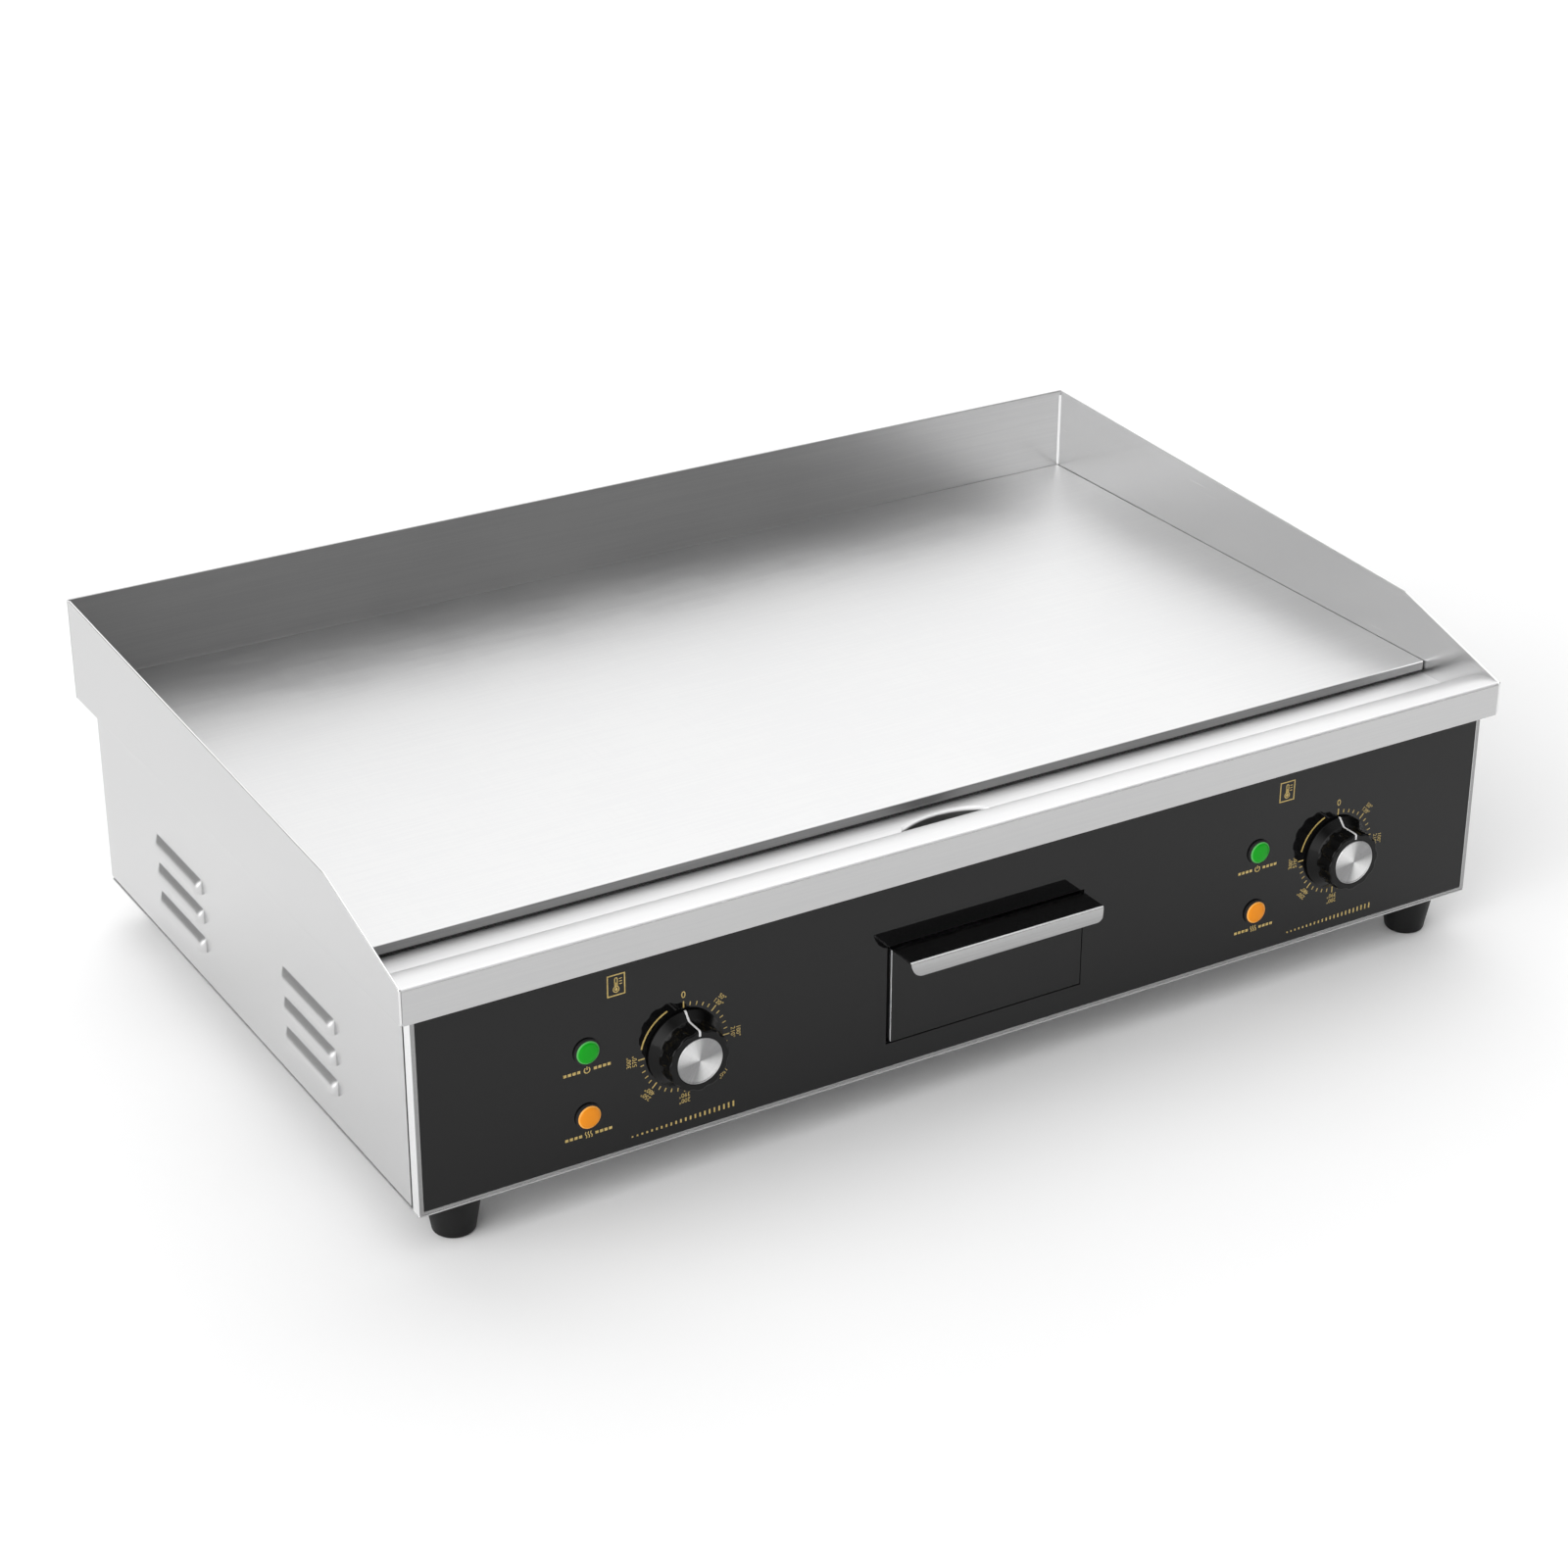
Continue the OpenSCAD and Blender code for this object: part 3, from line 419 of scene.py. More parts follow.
def ground_plate(name):
    """Ground cooking surface: short crossed grinding marks and a faint cloudy sheen."""
    made, tree, shader = new_finish(name, Metallic=1.0)
    grain = noise(tree, 700, 3, (0.03, 1, 1), 0.6)
    cross = noise(tree, 420, 2, (1, 0.06, 1))
    clouds = noise(tree, 9, 3)
    mixed = total(tree, total(tree, grain, cross, 0.3), clouds, 0.5)
    colour = blend_colour(tree, spread(tree, mixed, 0, 1, 0.7, 1.1), (0.725, 0.725, 0.728), grey(0.745))
    wire(tree, shader, colour, spread(tree, mixed, 0.38, 0.43, 0.7, 1.1), bumped(tree, grain, 0.08, 0.00002))
    return made


def plastic(name, low, high, rough, scale=60, bump=0.1, depth=0.0001, **values):
    """Moulded plastic or rubber: a slight colour change and a fine grain."""
    made, tree, shader = new_finish(name, **values)
    wide = noise(tree, scale, 3)
    fine = noise(tree, scale * 30, 2)
    roughness = spread(tree, wide, rough * 0.85, rough * 1.15)
    wire(tree, shader, blend_colour(tree, wide, low, high), roughness, bumped(tree, fine, bump, depth))
    return made


def metal(name, low, high, rough, scale=90):
    """Plain metal: a slight colour change and a fine grain."""
    return plastic(name, low, high, rough, scale, 0.1, 0.00005, Metallic=1.0)


def gloss_black(name):
    """Printed black panel under gloss: nearly even, with a trace of orange peel."""
    made, tree, shader = new_finish(name, IOR=1.38)
    wide = noise(tree, 5, 2)
    peel = noise(tree, 350, 2)
    colour = blend_colour(tree, wide, (0.0039, 0.0039, 0.0041), (0.0046, 0.0046, 0.0048))
    wire(tree, shader, colour, spread(tree, wide, 0.04, 0.06), bumped(tree, peel, 0.02, 0.00003))
    return made


def spun_with_painted_sheen(name, centre):
    """Spun aluminium: round grooves about a knob's axis, and a two-lobed highlight painted into its colour.
    """
    made, tree, shader = new_finish(name, Metallic=1.0, Anisotropic=0.7)
    arm = from_point(tree, centre)
    radius = vector_math(tree, "LENGTH", arm, out="Value")
    grooves = add(tree, "TexNoise", {"W": radius, "Scale": 5200.0, "Detail": 3.0}, noise_dimensions="1D")
    grooves = grooves.outputs["Fac"]
    tangent = add(tree, "Tangent", direction_type="RADIAL", axis="Y").outputs["Tangent"]
    tree.links.new(tangent, shader.inputs["Tangent"])
    way = vector_math(tree, "NORMALIZE", arm)
    # Painted highlight: two bright lobes, upper left and lower right of the cap, are painted into its colour.
    lean = vector_math(tree, "DOT_PRODUCT", way, (-0.68, 0.0, 0.73), "Value")
    painted_lobes = add(tree, "Math", {0: lean}, operation="ABSOLUTE").outputs["Value"]
    spokes = add(tree, "TexNoise", {"Vector": way, "Scale": 16.0, "Detail": 3.0}).outputs["Fac"]
    sheen = total(tree, total(tree, spread(tree, painted_lobes, 0, 1, 0.55, 1.0), grooves, 0.12), spokes, 0.30)
    colour = blend_colour(tree, spread(tree, sheen, 0.3, 0.7, 0.1, 1.3), (0.24, 0.24, 0.243), grey(0.80))
    wire(tree, shader, colour, spread(tree, grooves, 0.26, 0.34), bumped(tree, grooves, 0.15, 0.00002))
    return made


def lens_plastic(name, deep, pale, node):
    """Tinted lamp lens, paler towards its rim, with a faint glow from the lamp behind it."""
    made, tree, shader = new_finish(name, IOR=1.25)
    low, high = box(node)
    radius = (high.x - low.x) / 2 * MM
    across = vector_math(tree, "MULTIPLY", from_point(tree, middle(node)), (1, 0, 1))
    share = spread(tree, vector_math(tree, "LENGTH", across, out="Value"), 0, 1, 0.72 * radius, 0.86 * radius)
    colour = blend_colour(tree, total(tree, share, noise(tree, 400, 2), 0.15), deep, pale)
    tree.links.new(colour, shader.inputs["Emission Color"])
    shader.inputs["Emission Strength"].default_value = 0.12
    wire(tree, shader, colour, spread(tree, noise(tree, 200, 2), 0.14, 0.24),
         bumped(tree, noise(tree, 900, 2), 0.05, 0.0001))
    return made


GREEN = ((0.004, 0.32, 0.010), (0.10, 0.44, 0.11))
AMBER = ((0.79, 0.26, 0.012), (0.86, 0.42, 0.09))

finishes = {
    "steel_body": brushed("steel_body", 0.59, 0.24, "y", contrast=0.008),
    "steel_frame": brushed("steel_frame", 0.86, 0.24, "x", bump=0.05),
    "steel_guard": brushed("steel_guard", 0.78, 0.30, "x", bump=0.04, contrast=0.008),
    "steel_inner": brushed("steel_inner", 0.60, 0.36, "x"),
    "cooking_steel": ground_plate("cooking_steel"),
    "gloss_black": gloss_black("gloss_black"),
    "knob_black": plastic("knob_black", grey(0.003), grey(0.005), 0.14, 40, 0.03, 0.00003, IOR=1.28),
    "spun_metal": spun_with_painted_sheen("spun_metal", middle("left_knob_cap")),
    "lens_green": lens_plastic("lens_green", *GREEN, "left_green_lens"),
    "lens_amber": lens_plastic("lens_amber", *AMBER, "left_amber_lens"),
    "holder_white": plastic("holder_white", (0.62, 0.60, 0.55), (0.72, 0.70, 0.65), 0.45),
    "thermostat_shell": metal("thermostat_shell", (0.50, 0.46, 0.34), (0.62, 0.57, 0.42), 0.38),
    "copper": metal("copper", (0.62, 0.27, 0.14), (0.74, 0.36, 0.20), 0.32, 60),
    "element_sheath": metal("element_sheath", (0.12, 0.115, 0.11), (0.22, 0.20, 0.18), 0.5, 45),
    "white_ceramic": plastic("white_ceramic", (0.66, 0.65, 0.61), (0.78, 0.77, 0.73), 0.5, 80, 0.2),
    "zinc_fastener": metal("zinc_fastener", (0.56, 0.56, 0.55), (0.70, 0.70, 0.70), 0.3, 120),
    "blanket": plastic("blanket", (0.58, 0.54, 0.46), (0.78, 0.75, 0.68), 0.95, 110, 0.8, 0.0012),
    "gland_black": plastic("gland_black", grey(0.018), grey(0.028), 0.42, 60, 0.2),
    "foot_rubber": plastic("foot_rubber", grey(0.005), grey(0.008), 0.5, 70, 0.25, IOR=1.3),
    "wire_sleeve": plastic("wire_sleeve", (0.35, 0.03, 0.02), (0.48, 0.06, 0.04), 0.5, 90),
}
# Lighter copy of the guard steel: painted light on the side walls' inner faces.
side_wall_painted_light = brushed("side_wall_painted_light", 0.80, 0.26, "y", contrast=0.008)
# Darker copy of the guard steel: painted shade on the rear wall.
rear_wall_painted_shade = brushed("rear_wall_painted_shade", 0.54, 0.30, "x")
# Darker copy of the frame steel: painted shade on the front faces of the frame's border.
border_painted_shade = brushed("border_painted_shade", 0.33, 0.26, "x", bump=0.05)
# Darker copy for the trough's lip face: painted shade.
lip_painted_shade = brushed("lip_painted_shade", 0.55, 0.32, "x", bump=0.04, contrast=0.008)
bank_steel = brushed("bank_steel", 0.76, 0.42, "x", bump=0.04, contrast=0.008)
# Lighter copy for the trough floor: painted light.
floor_painted_light = brushed("floor_painted_light", 0.88, 0.60, "x", bump=0.05)
# Near-white steel: painted highlights on bends and edges.
painted_highlight_steel = brushed("painted_highlight_steel", 0.96, 0.58, "x", bump=0.05)
# Near-white steel: a painted highlight along the side walls' lower edges.
painted_edge_highlight = brushed("painted_edge_highlight", 0.94, 0.30, "y", bump=0.05)
# Darker copy of the frame steel for the drawer handle: painted shade.
handle_painted_shade = brushed("handle_painted_shade", 0.45, 0.20, "x", contrast=0.02)
plate_edge = brushed("plate_edge", 0.30, 0.42, "x")
gold_ink = plastic("gold_ink", (0.50, 0.36, 0.10), (0.62, 0.46, 0.16), 0.42, 300, 0.1)
white_paint = plastic("white_paint", grey(0.70), grey(0.82), 0.4, 200, 0.1)
# Near-black: painted shade in gaps, under edges and round the lens feet.
painted_shade = plastic("painted_shade", grey(0.006), grey(0.010), 0.7, 60)
right_finishes = {
    "lens_green": lens_plastic("right_lens_green", *GREEN, "right_green_lens"),
    "lens_amber": lens_plastic("right_lens_amber", *AMBER, "right_amber_lens"),
    "spun_metal": spun_with_painted_sheen("right_spun_metal", middle("right_knob_cap")),
}


# ---- Body sheets ----

SHEET = 1.2
FOLD_R = 0.8
FOLD = FOLD_R + SHEET
plate_low, plate_high = box("base_plate")
panel_low, panel_high = box("left_side_panel")
body_right = plate_high.x
body_front, body_rear = plate_low.y, plate_high.y
side_front, body_bottom, body_top = panel_low.y, panel_low.z, panel_high.z
FLANGE = 15
CUT_EDGE = (0.1, 0.1)

LOUVRE_LENGTH, LOUVRE_HEIGHT, LOUVRE_PROUD, LOUVRE_WALL = 70, 9.5, 3.8, 0.9
LOUVRE_PITCH, LOUVRE_LOW = 19.2, 54
LOUVRE_MIDDLES = (-91.5, 94.5)
LOUVRE_END, LOUVRE_ROWS, LOUVRE_COLUMNS = 6, 14, 44


def louvre(y_mid, z_mid, out_x, side):
    """A pressed hood: it swells outwards from its top edge to an open lip below, with round ends."""
    def skin(shift):
        rows = []
        for k in range(LOUVRE_ROWS + 1):
            s = k / LOUVRE_ROWS
            row = []
            for c in range(LOUVRE_COLUMNS + 1):
                turn = pi * c / LOUVRE_COLUMNS
                y = -LOUVRE_LENGTH / 2 + LOUVRE_LENGTH * 0.5 * (1 - cos(turn))
                from_end = LOUVRE_LENGTH / 2 - abs(y)
                end = sqrt(max(1 - (1 - min(from_end / LOUVRE_END, 1)) ** 2, 0))
                swell = sin(pi / 2 * min(s * 1.25, 1)) ** 0.9
                proud = LOUVRE_PROUD * swell * end
                z = z_mid + LOUVRE_HEIGHT * (0.5 - s)
                row.append(Vector((out_x + side * (proud - shift), y_mid + y, z)))
            rows.append(row)
        return rows
    return grid_skin(skin(0), skin(LOUVRE_WALL))


def side_panel(side):
    """Side panel with two columns of hooded louvres, and its folded bottom and top edges."""
    name = "left" if side < 0 else "right"
    out_x = side * body_right
    mids = [(y, LOUVRE_LOW + i * LOUVRE_PITCH) for y in LOUVRE_MIDDLES for i in range(3)]
    reach, rise = LOUVRE_LENGTH / 2 - 0.6, LOUVRE_HEIGHT / 2 - 0.5
    holes = [rounded(rect(y - reach, z - rise, y + reach, z + rise), 3.5) for y, z in mids]
    low_w, high_w = sorted((out_x, out_x - side * SHEET))
    web = slab(rect(side_front, body_bottom + FOLD, body_rear, body_top - FOLD), low_w, high_w, sideways,
               holes, edge=0, hole_edge=CUT_EDGE, steps=2)
    solids = [web] + flanges(out_x, -side, FLANGE, side_front, body_rear, body_bottom, body_top, facing)
    solids += [louvre(y, z, out_x, side) for y, z in mids]
    piece(f"{name}_panel", solids, [f"{name}_side_panel"])


def flanged_web(node_half, flange_half, low_z, high_z):
    """Outline in X and Z of a web whose top and bottom folds stop short of its sides."""
    right = [(flange_half, low_z + FOLD), (flange_half, low_z), (node_half, low_z),
             (node_half, high_z), (flange_half, high_z), (flange_half, high_z - FOLD)]
    left = [(-x, z) for x, z in right[::-1]]
    return [Vector(p) for p in right + left]


def flanges(web, way, depth, start, end, low_z, high_z, place):
    """The folded bottom and top flanges of a web; way is +1 when they reach towards +X or +Y."""
    solids = []
    for z, up in ((low_z, 1), (high_z, -1)):
        line = [(web, z + up * FOLD), (web, z), (web + way * depth, z)]
        solids.append(slab(folded(line, SHEET * way * up, FOLD_R), start, end, place, edge=0))
    return solids


REAR_SLOT_XS, REAR_SLOT_ZS = (-150, 0, 150), (81, 92, 103, 114)
REAR_SLOT_LENGTH, VENT_HEIGHT, GLAND_HOLE = 90, 5, 8.1
FLANGE_HALF, FLANGE_REACH = body_right - 22.5, 9.5
gland_middle = middle("cable_gland")


def rear_panel():
    """Rear panel with its vent slots, gland hole and folds."""
    low, high = box("rear_panel")
    holes = [slot_hole(x, z, REAR_SLOT_LENGTH, VENT_HEIGHT) for x in REAR_SLOT_XS for z in REAR_SLOT_ZS]
    holes.append(circle(gland_middle.x, gland_middle.z, GLAND_HOLE))
    outline = flanged_web(high.x, FLANGE_HALF, low.z, high.z)
    web = slab(outline, high.y - SHEET, high.y, facing, holes, edge=0.15)
    solids = [web] + flanges(high.y, -1, FLANGE_REACH, -FLANGE_HALF, FLANGE_HALF, low.z, high.z, sideways)
    piece("rear_panel_sheet", solids, ["rear_panel"])


SHAFT_HOLE, SCREW_HOLE, SCREW_HEAD_HOLE, LAMP_HOLE = 5.5, 2.05, 4, 5.05
DIAL_SCREW_OUT = 14
DRAWER_GAP, DRAWER_PLAY, DRAWER_HEAD = 3, 0.6, 1.8
FACE_PLAY = (0.3, 0.45)
FASCIA_GAP = 0.12
FRAME_RETURN = 7.5
frame_low, frame_high = box("front_frame")
fascia_low, fascia_high = box("control_fascia")
pan_low, pan_high = box("drawer_front")
handle_low, handle_high = box("drawer_handle")
dials = {side: middle(f"{side}_knob") for side in ("left", "right")}
lamps = {f"{side}_{hue}": middle(f"{side}_{hue}_lens") for side in dials for hue in ("green", "amber")}


def drawer_window(right, below):
    return rect(pan_low.x - DRAWER_GAP, pan_low.z - below, pan_high.x + right, handle_high.z + DRAWER_HEAD)


def control_openings(screw_radius, right=DRAWER_PLAY, below=DRAWER_PLAY):
    holes = []
    for dial in dials.values():
        holes.append(circle(dial.x, dial.z, SHAFT_HOLE))
        holes += [circle(dial.x + dx, dial.z, screw_radius, 24)
                  for dx in (-DIAL_SCREW_OUT, DIAL_SCREW_OUT)]
    holes += [circle(lamp.x, lamp.z, LAMP_HOLE) for lamp in lamps.values()]
    return holes + [drawer_window(right, below)]


def front_frame():
    """Bright frame: a narrow rounded border round the fascia, the web behind it and the web's folds."""
    web_front, web_back = fascia_high.y, fascia_high.y + SHEET
    opening = front_of(fascia_low, fascia_high)
    return_back = frame_low.y + FRAME_RETURN
    border = slab(front_of(frame_low, frame_high), frame_low.y, return_back, facing, [opening],
                  edge=(0.7, 0.4), hole_edge=(0.35, 0.1), steps=4)
    web = slab(opening, web_front, web_back, facing, control_openings(SCREW_HOLE), edge=0, hole_edge=CUT_EDGE)
    folds = []
    for z, up in ((frame_low.z, 1), (frame_high.z, -1)):
        w0, w1 = sorted((z, z + up * SHEET))
        flange = rect(-FLANGE_HALF, return_back, FLANGE_HALF, web_front + FLANGE_REACH)
        folds.append(slab(flange, w0, w1, lying, edge=0.15))
    made = piece("front_frame_sheet", [border, web] + folds, ["front_frame"], "steel_frame")
    # Painted shade: the border's forward faces in a darker steel.
    refinish(made, border_painted_shade, lambda spot, normal: normal.y < -0.9)


def fascia():
    """Glossy panel; its window is closer round the drawer's face than the frame's, for a fine line."""
    outline = rounded(front_of(fascia_low, fascia_high, FASCIA_GAP), 0.6)
    openings = control_openings(SCREW_HEAD_HOLE, *FACE_PLAY)
    panel = slab(outline, fascia_low.y, fascia_high.y, facing, openings, edge=(0.3, 0.1),
                 hole_edge=(0.25, 0.1))
    piece("fascia_panel", [panel], ["control_fascia"], "gloss_black")


# ---- Tray and splash guard ----

trough_low, trough_high = box("drip_trough")
wall_high = box("left_splash_wall")[1]
TRAY_SHEET = 1.5
WELD = 1.2


def seen_from_the_side(node):
    """The convex outline of a CAD node in Y and Z."""
    cad = frame["nodes"][node]
    places = [cad.matrix_world @ v.co / MM for v in cad.data.vertices]
    points = {(round(p.y, 2), round(p.z, 2)) for p in places}
    centre = sum((Vector(p) for p in points), Vector((0, 0))) / len(points)
    return sorted((Vector(p) for p in points), key=lambda p: atan2(p.y - centre.y, p.x - centre.x))


def side_wall(side):
    """Side splash wall: painted lighter inside, a painted highlight along its lower edge, and the darker body
    steel outside.
    """
    name = "left" if side < 0 else "right"
    low, high = box(f"{name}_splash_wall")
    outline = seen_from_the_side(f"{name}_splash_wall")
    top_front = min(outline, key=lambda p: (p.x, -p.y))
    radii = [1.2 if p == top_front else 0.3 if p.x in (low.y, high.y) else 2 for p in outline]
    sheet = slab(rounded(outline, radii), low.x, high.x, sideways, edge=0.65, steps=5)
    made = piece(f"{name}_wall_sheet", [sheet], [f"{name}_splash_wall"], "steel_guard",
                 side_wall_painted_light)
    # Painted light and shade: the outer face darker in the body steel, and a painted highlight on the lower
    # edge's rounding.
    refinish(made, finishes["steel_body"], lambda spot, normal: side * normal.x > 0.9)
    refinish(made, painted_edge_highlight, lambda spot, normal: spot.z < low.z + 0.7 and 0.1 < side * normal.x < 0.97)


def rear_wall():
    """Rear wall with the weld beads in its two corners."""
    low, high = box("rear_splash_wall")
    outline = rounded(front_of(low, high), [0.3, 0.3, 1.5, 1.5])
    sheet = slab(outline, low.y, high.y, facing, edge=0.55, steps=4)
    beads = []
    for side in (-1, 1):
        corner_x = side * -wall_high.x
        bead = [Vector((corner_x, low.y))]
        bead += [Vector((corner_x - side * WELD * (1 - t / 3), low.y - WELD * t / 3)) for t in range(4)]
        beads.append(slab(bead, griddle_high.z + 0.2, high.z - 3, lying, edge=0))
    # The rear wall is in the darker copy of the guard steel, painted shade.
    piece("rear_wall_sheet", [sheet] + beads, ["rear_splash_wall"], "steel_guard", rear_wall_painted_shade)


griddle_low, griddle_high = box("griddle_plate")
FOLD_Y = trough_low.y + 50.2
CREST_Y = trough_low.y + 6.2
LIP_EDGE = 2
BANK_SLOPE = 31
FLOOR_TOP = body_top + TRAY_SHEET
FLOOR_UNDER_PLATE = 14.4
SLOT_MIDDLE, SLOT_CHORD, SLOT_DEPTH, SLOT_ROLL = -1.5, 60, 9.1, 3.8


def bank_profile():
    """The gutter's front bank from the fold over the crest and down the lip, top face first."""
    slope = radians(BANK_SLOPE)
    width, height = FOLD_Y - CREST_Y, trough_high.z - FLOOR_TOP
    radius = (width * sin(slope) - height * cos(slope)) / (1 - cos(slope))
    bank = arc(CREST_Y, trough_high.z - radius, radius, 90 - BANK_SLOPE, 90, 20)
    lip = arc(trough_low.y + LIP_EDGE, trough_high.z - LIP_EDGE, LIP_EDGE, 90, 180, 10)
    top = [Vector((FOLD_Y, FLOOR_TOP))] + bank + lip + [Vector((trough_low.y, trough_low.z))]
    under = [Vector((trough_low.y + TRAY_SHEET, trough_low.z))]
    under += arc(trough_low.y + LIP_EDGE, trough_high.z - LIP_EDGE, LIP_EDGE - TRAY_SHEET, 180, 90, 4)
    under += arc(CREST_Y, trough_high.z - radius, radius - TRAY_SHEET, 90, 90 - BANK_SLOPE, 20)
    return top + under + [Vector((FOLD_Y, FLOOR_TOP - TRAY_SHEET))]


def slot_edge(steps=48):
    """Points along the drain slot's round edge, each with its outward direction and roll width."""
    radius = (SLOT_CHORD ** 2 / 4 + SLOT_DEPTH ** 2) / (2 * SLOT_DEPTH)
    centre = Vector((SLOT_MIDDLE, FOLD_Y + SLOT_DEPTH - radius))
    reach = degrees(asin(SLOT_CHORD / 2 / radius))
    out = []
    for i in range(steps + 1):
        a = radians(90 + reach - 2 * reach * i / steps)
        way = Vector((cos(a), sin(a)))
        from_end = min(i, steps - i) / steps
        out.append((centre + way * radius, way, 0.2 + (SLOT_ROLL - 0.2) * smooth(from_end, 0, 0.10)))
    return out


def trough():
    """Drip trough: flat floor with the drain slot rolled down along its round edge, bank and lip."""
    edge = slot_edge()
    rear_y = griddle_low.y + FLOOR_UNDER_PLATE
    notch = [p + way * roll for p, way, roll in edge]
    notch[0].y = notch[-1].y = FOLD_Y
    floor_outline = ([Vector((trough_low.x, rear_y)), Vector((trough_low.x, FOLD_Y))] + notch
                     + [Vector((trough_high.x, FOLD_Y)), Vector((trough_high.x, rear_y))])
    flat = slab(floor_outline, FLOOR_TOP - TRAY_SHEET, FLOOR_TOP, lying, edge=0)
    rings = []
    for p, way, roll in edge:
        ring = []
        for k in range(9):
            t = pi / 2 * k / 8
            q = p + way * roll * (1 - sin(t))
            ring.append(Vector((q.x, max(q.y, FOLD_Y), FLOOR_TOP - TRAY_SHEET * (1 - cos(t)))))
        q = p + way * roll
        rings.append(ring + [Vector((q.x, max(q.y, FOLD_Y), FLOOR_TOP - TRAY_SHEET))])
    bank = slab(bank_profile(), trough_low.x, trough_high.x, sideways, edge=0)
    made = piece("trough_sheet", [flat, loft(rings), bank], ["drip_trough"], "steel_guard",
                 bank_steel, 24)
    # Painted light and shade: the floor lighter and the lip's front face darker, in copies of the steel.
    refinish(made, floor_painted_light, lambda spot, normal: spot.y > FOLD_Y and normal.z > 0.99)
    # Painted highlight along the bend over the trough's crest.
    refinish(made, painted_highlight_steel, lambda spot, normal: spot.y < CREST_Y and -0.97 < normal.y < -0.3)
    refinish(made, lip_painted_shade, lambda spot, normal: normal.y < -0.97)


def griddle():
    """Thick cooking plate: ground on top, darker steel on its edges, and painted shade under them."""
    outline = rounded(plan_of(griddle_low, griddle_high), 1.5)
    plate = slab(outline, griddle_low.z, griddle_high.z, lying, edge=(2.0, 0.7), steps=4)
    made = piece("griddle_top", [plate], ["griddle_plate"], "cooking_steel")
    refinish(made, plate_edge, lambda spot, normal: normal.z < 0.3)
    # Painted shade: the lower rounding and underside near-black, for the shaded gap over the trough floor.
    refinish(made, painted_shade, lambda spot, normal: normal.z < -0.05)


# ---- Knobs, caps and lamps ----

def side_finish(side, slot):
    """The finish that is drawn round a knob's or a lamp's own middle."""
    return finishes[slot] if side == "left" else right_finishes[slot]


KNOB_SKIRT, KNOB_GRIP, FLUTES, FLUTE_R, FLUTE_DEEP, FLUTE_START = 23, 18.5, 12, 7, 0.9, 6.0
CAP_R, CAP_SINK = 13.9, 1.2


def flute_depth(angle):
    """How far a flute cuts into the grip at an angle, with softened edges."""
    pitch = TAU / FLUTES
    from_flute = abs((angle % pitch) - pitch / 2)
    axis = KNOB_GRIP + FLUTE_R - FLUTE_DEEP
    inside = FLUTE_R ** 2 - (axis * sin(from_flute)) ** 2
    if inside <= 0:
        return 0
    cut = KNOB_GRIP - (axis * cos(from_flute) - sqrt(inside))
    return max(cut, 0) if cut > 0.3 else max(cut + 0.02, 0) * smooth(cut, -0.1, 0.3)


def knob_shape(angle, radius, height):
    weight = smooth(height, FLUTE_START - 0.1, FLUTE_START + 0.7) * smooth(radius, 15.2, 17.2)
    return radius - flute_depth(angle) * weight


def knob_line(length):
    """The knob's outline from the edge of its skirt over the grip to the rim round its cap."""
    skirt = arc(KNOB_SKIRT - 0.5, 0.5, 0.5, -90, 0, 4) + arc(KNOB_SKIRT - 0.5, 1.2, 0.5, 0, 46, 4)
    slope = [Vector((KNOB_GRIP + 0.55, 5.05)), Vector((KNOB_GRIP + 0.2, 5.45)), Vector((KNOB_GRIP, 6.0))]
    grip = [Vector((KNOB_GRIP, FLUTE_START + 0.35)), Vector((KNOB_GRIP, FLUTE_START + 0.7)),
            Vector((KNOB_GRIP, 11))]
    nose = arc(KNOB_GRIP - 1, length - 1, 1, 0, 90, 7)
    face = [Vector((16.4, length)), Vector((15.2, length))] + arc(CAP_R + 0.4, length - 0.3, 0.3, 90, 180, 3)
    return skirt + slope + grip + nose + face


def knob(side):
    """Fluted knob with a white pointer over its skirt, grip and face, and its metal cap."""
    low, high = box(f"{side}_knob")
    dial, length = dials[side], high.y - low.y
    body = f"{side}_dial"
    line = knob_line(length)
    sunk = [Vector((CAP_R + 0.1, length - CAP_SINK - 0.1)), Vector((4, length - CAP_SINK - 0.1))]
    profile = [Vector((4, 0)), Vector((15, 0))] + line + sunk
    grip = turned(profile, towards_cook(dial, high.y), 192, knob_shape)
    piece(f"{side}_knob_grip", [grip], [f"{side}_knob"], "knob_black", sharp=30, body=body)

    over = [p for p in line if p.y > 0.45 and p.x > CAP_R + 0.7]
    outer, inner = [], []
    for p, way in zip(over, ways_along(over)):
        out = Vector((way.y, -way.x))
        outer.append(p + out * 0.07)
        inner.append(p - out * 0.2)
    strip = slab(outer + inner[::-1], dial.x - 0.62, dial.x + 0.62,
                 lambda u, v, w: Vector((w, high.y - v, dial.z + u)), edge=0)
    piece(f"{side}_pointer", [strip], (), "knob_black", white_paint, body=body)

    cap_low, cap_high = box(f"{side}_knob_cap")
    thick = cap_high.y - cap_low.y
    disc = [(2, 0), (CAP_R - 0.2, 0), (CAP_R, 0.2), (CAP_R, thick - 0.35), (CAP_R - 0.12, thick - 0.1),
            (CAP_R - 0.4, thick), (CAP_R - 0.85, thick), (CAP_R - 1.1, thick - 0.12),
            (CAP_R - 1.4, thick - 0.2), (9, thick - 0.26), (5, thick - 0.3), (1, thick - 0.32)]
    solid = turned(disc, towards_cook(dial, cap_high.y), 128)
    piece(f"{side}_cap_disc", [solid], [f"{side}_knob_cap"], "spun_metal", side_finish(side, "spun_metal"),
          20, body)


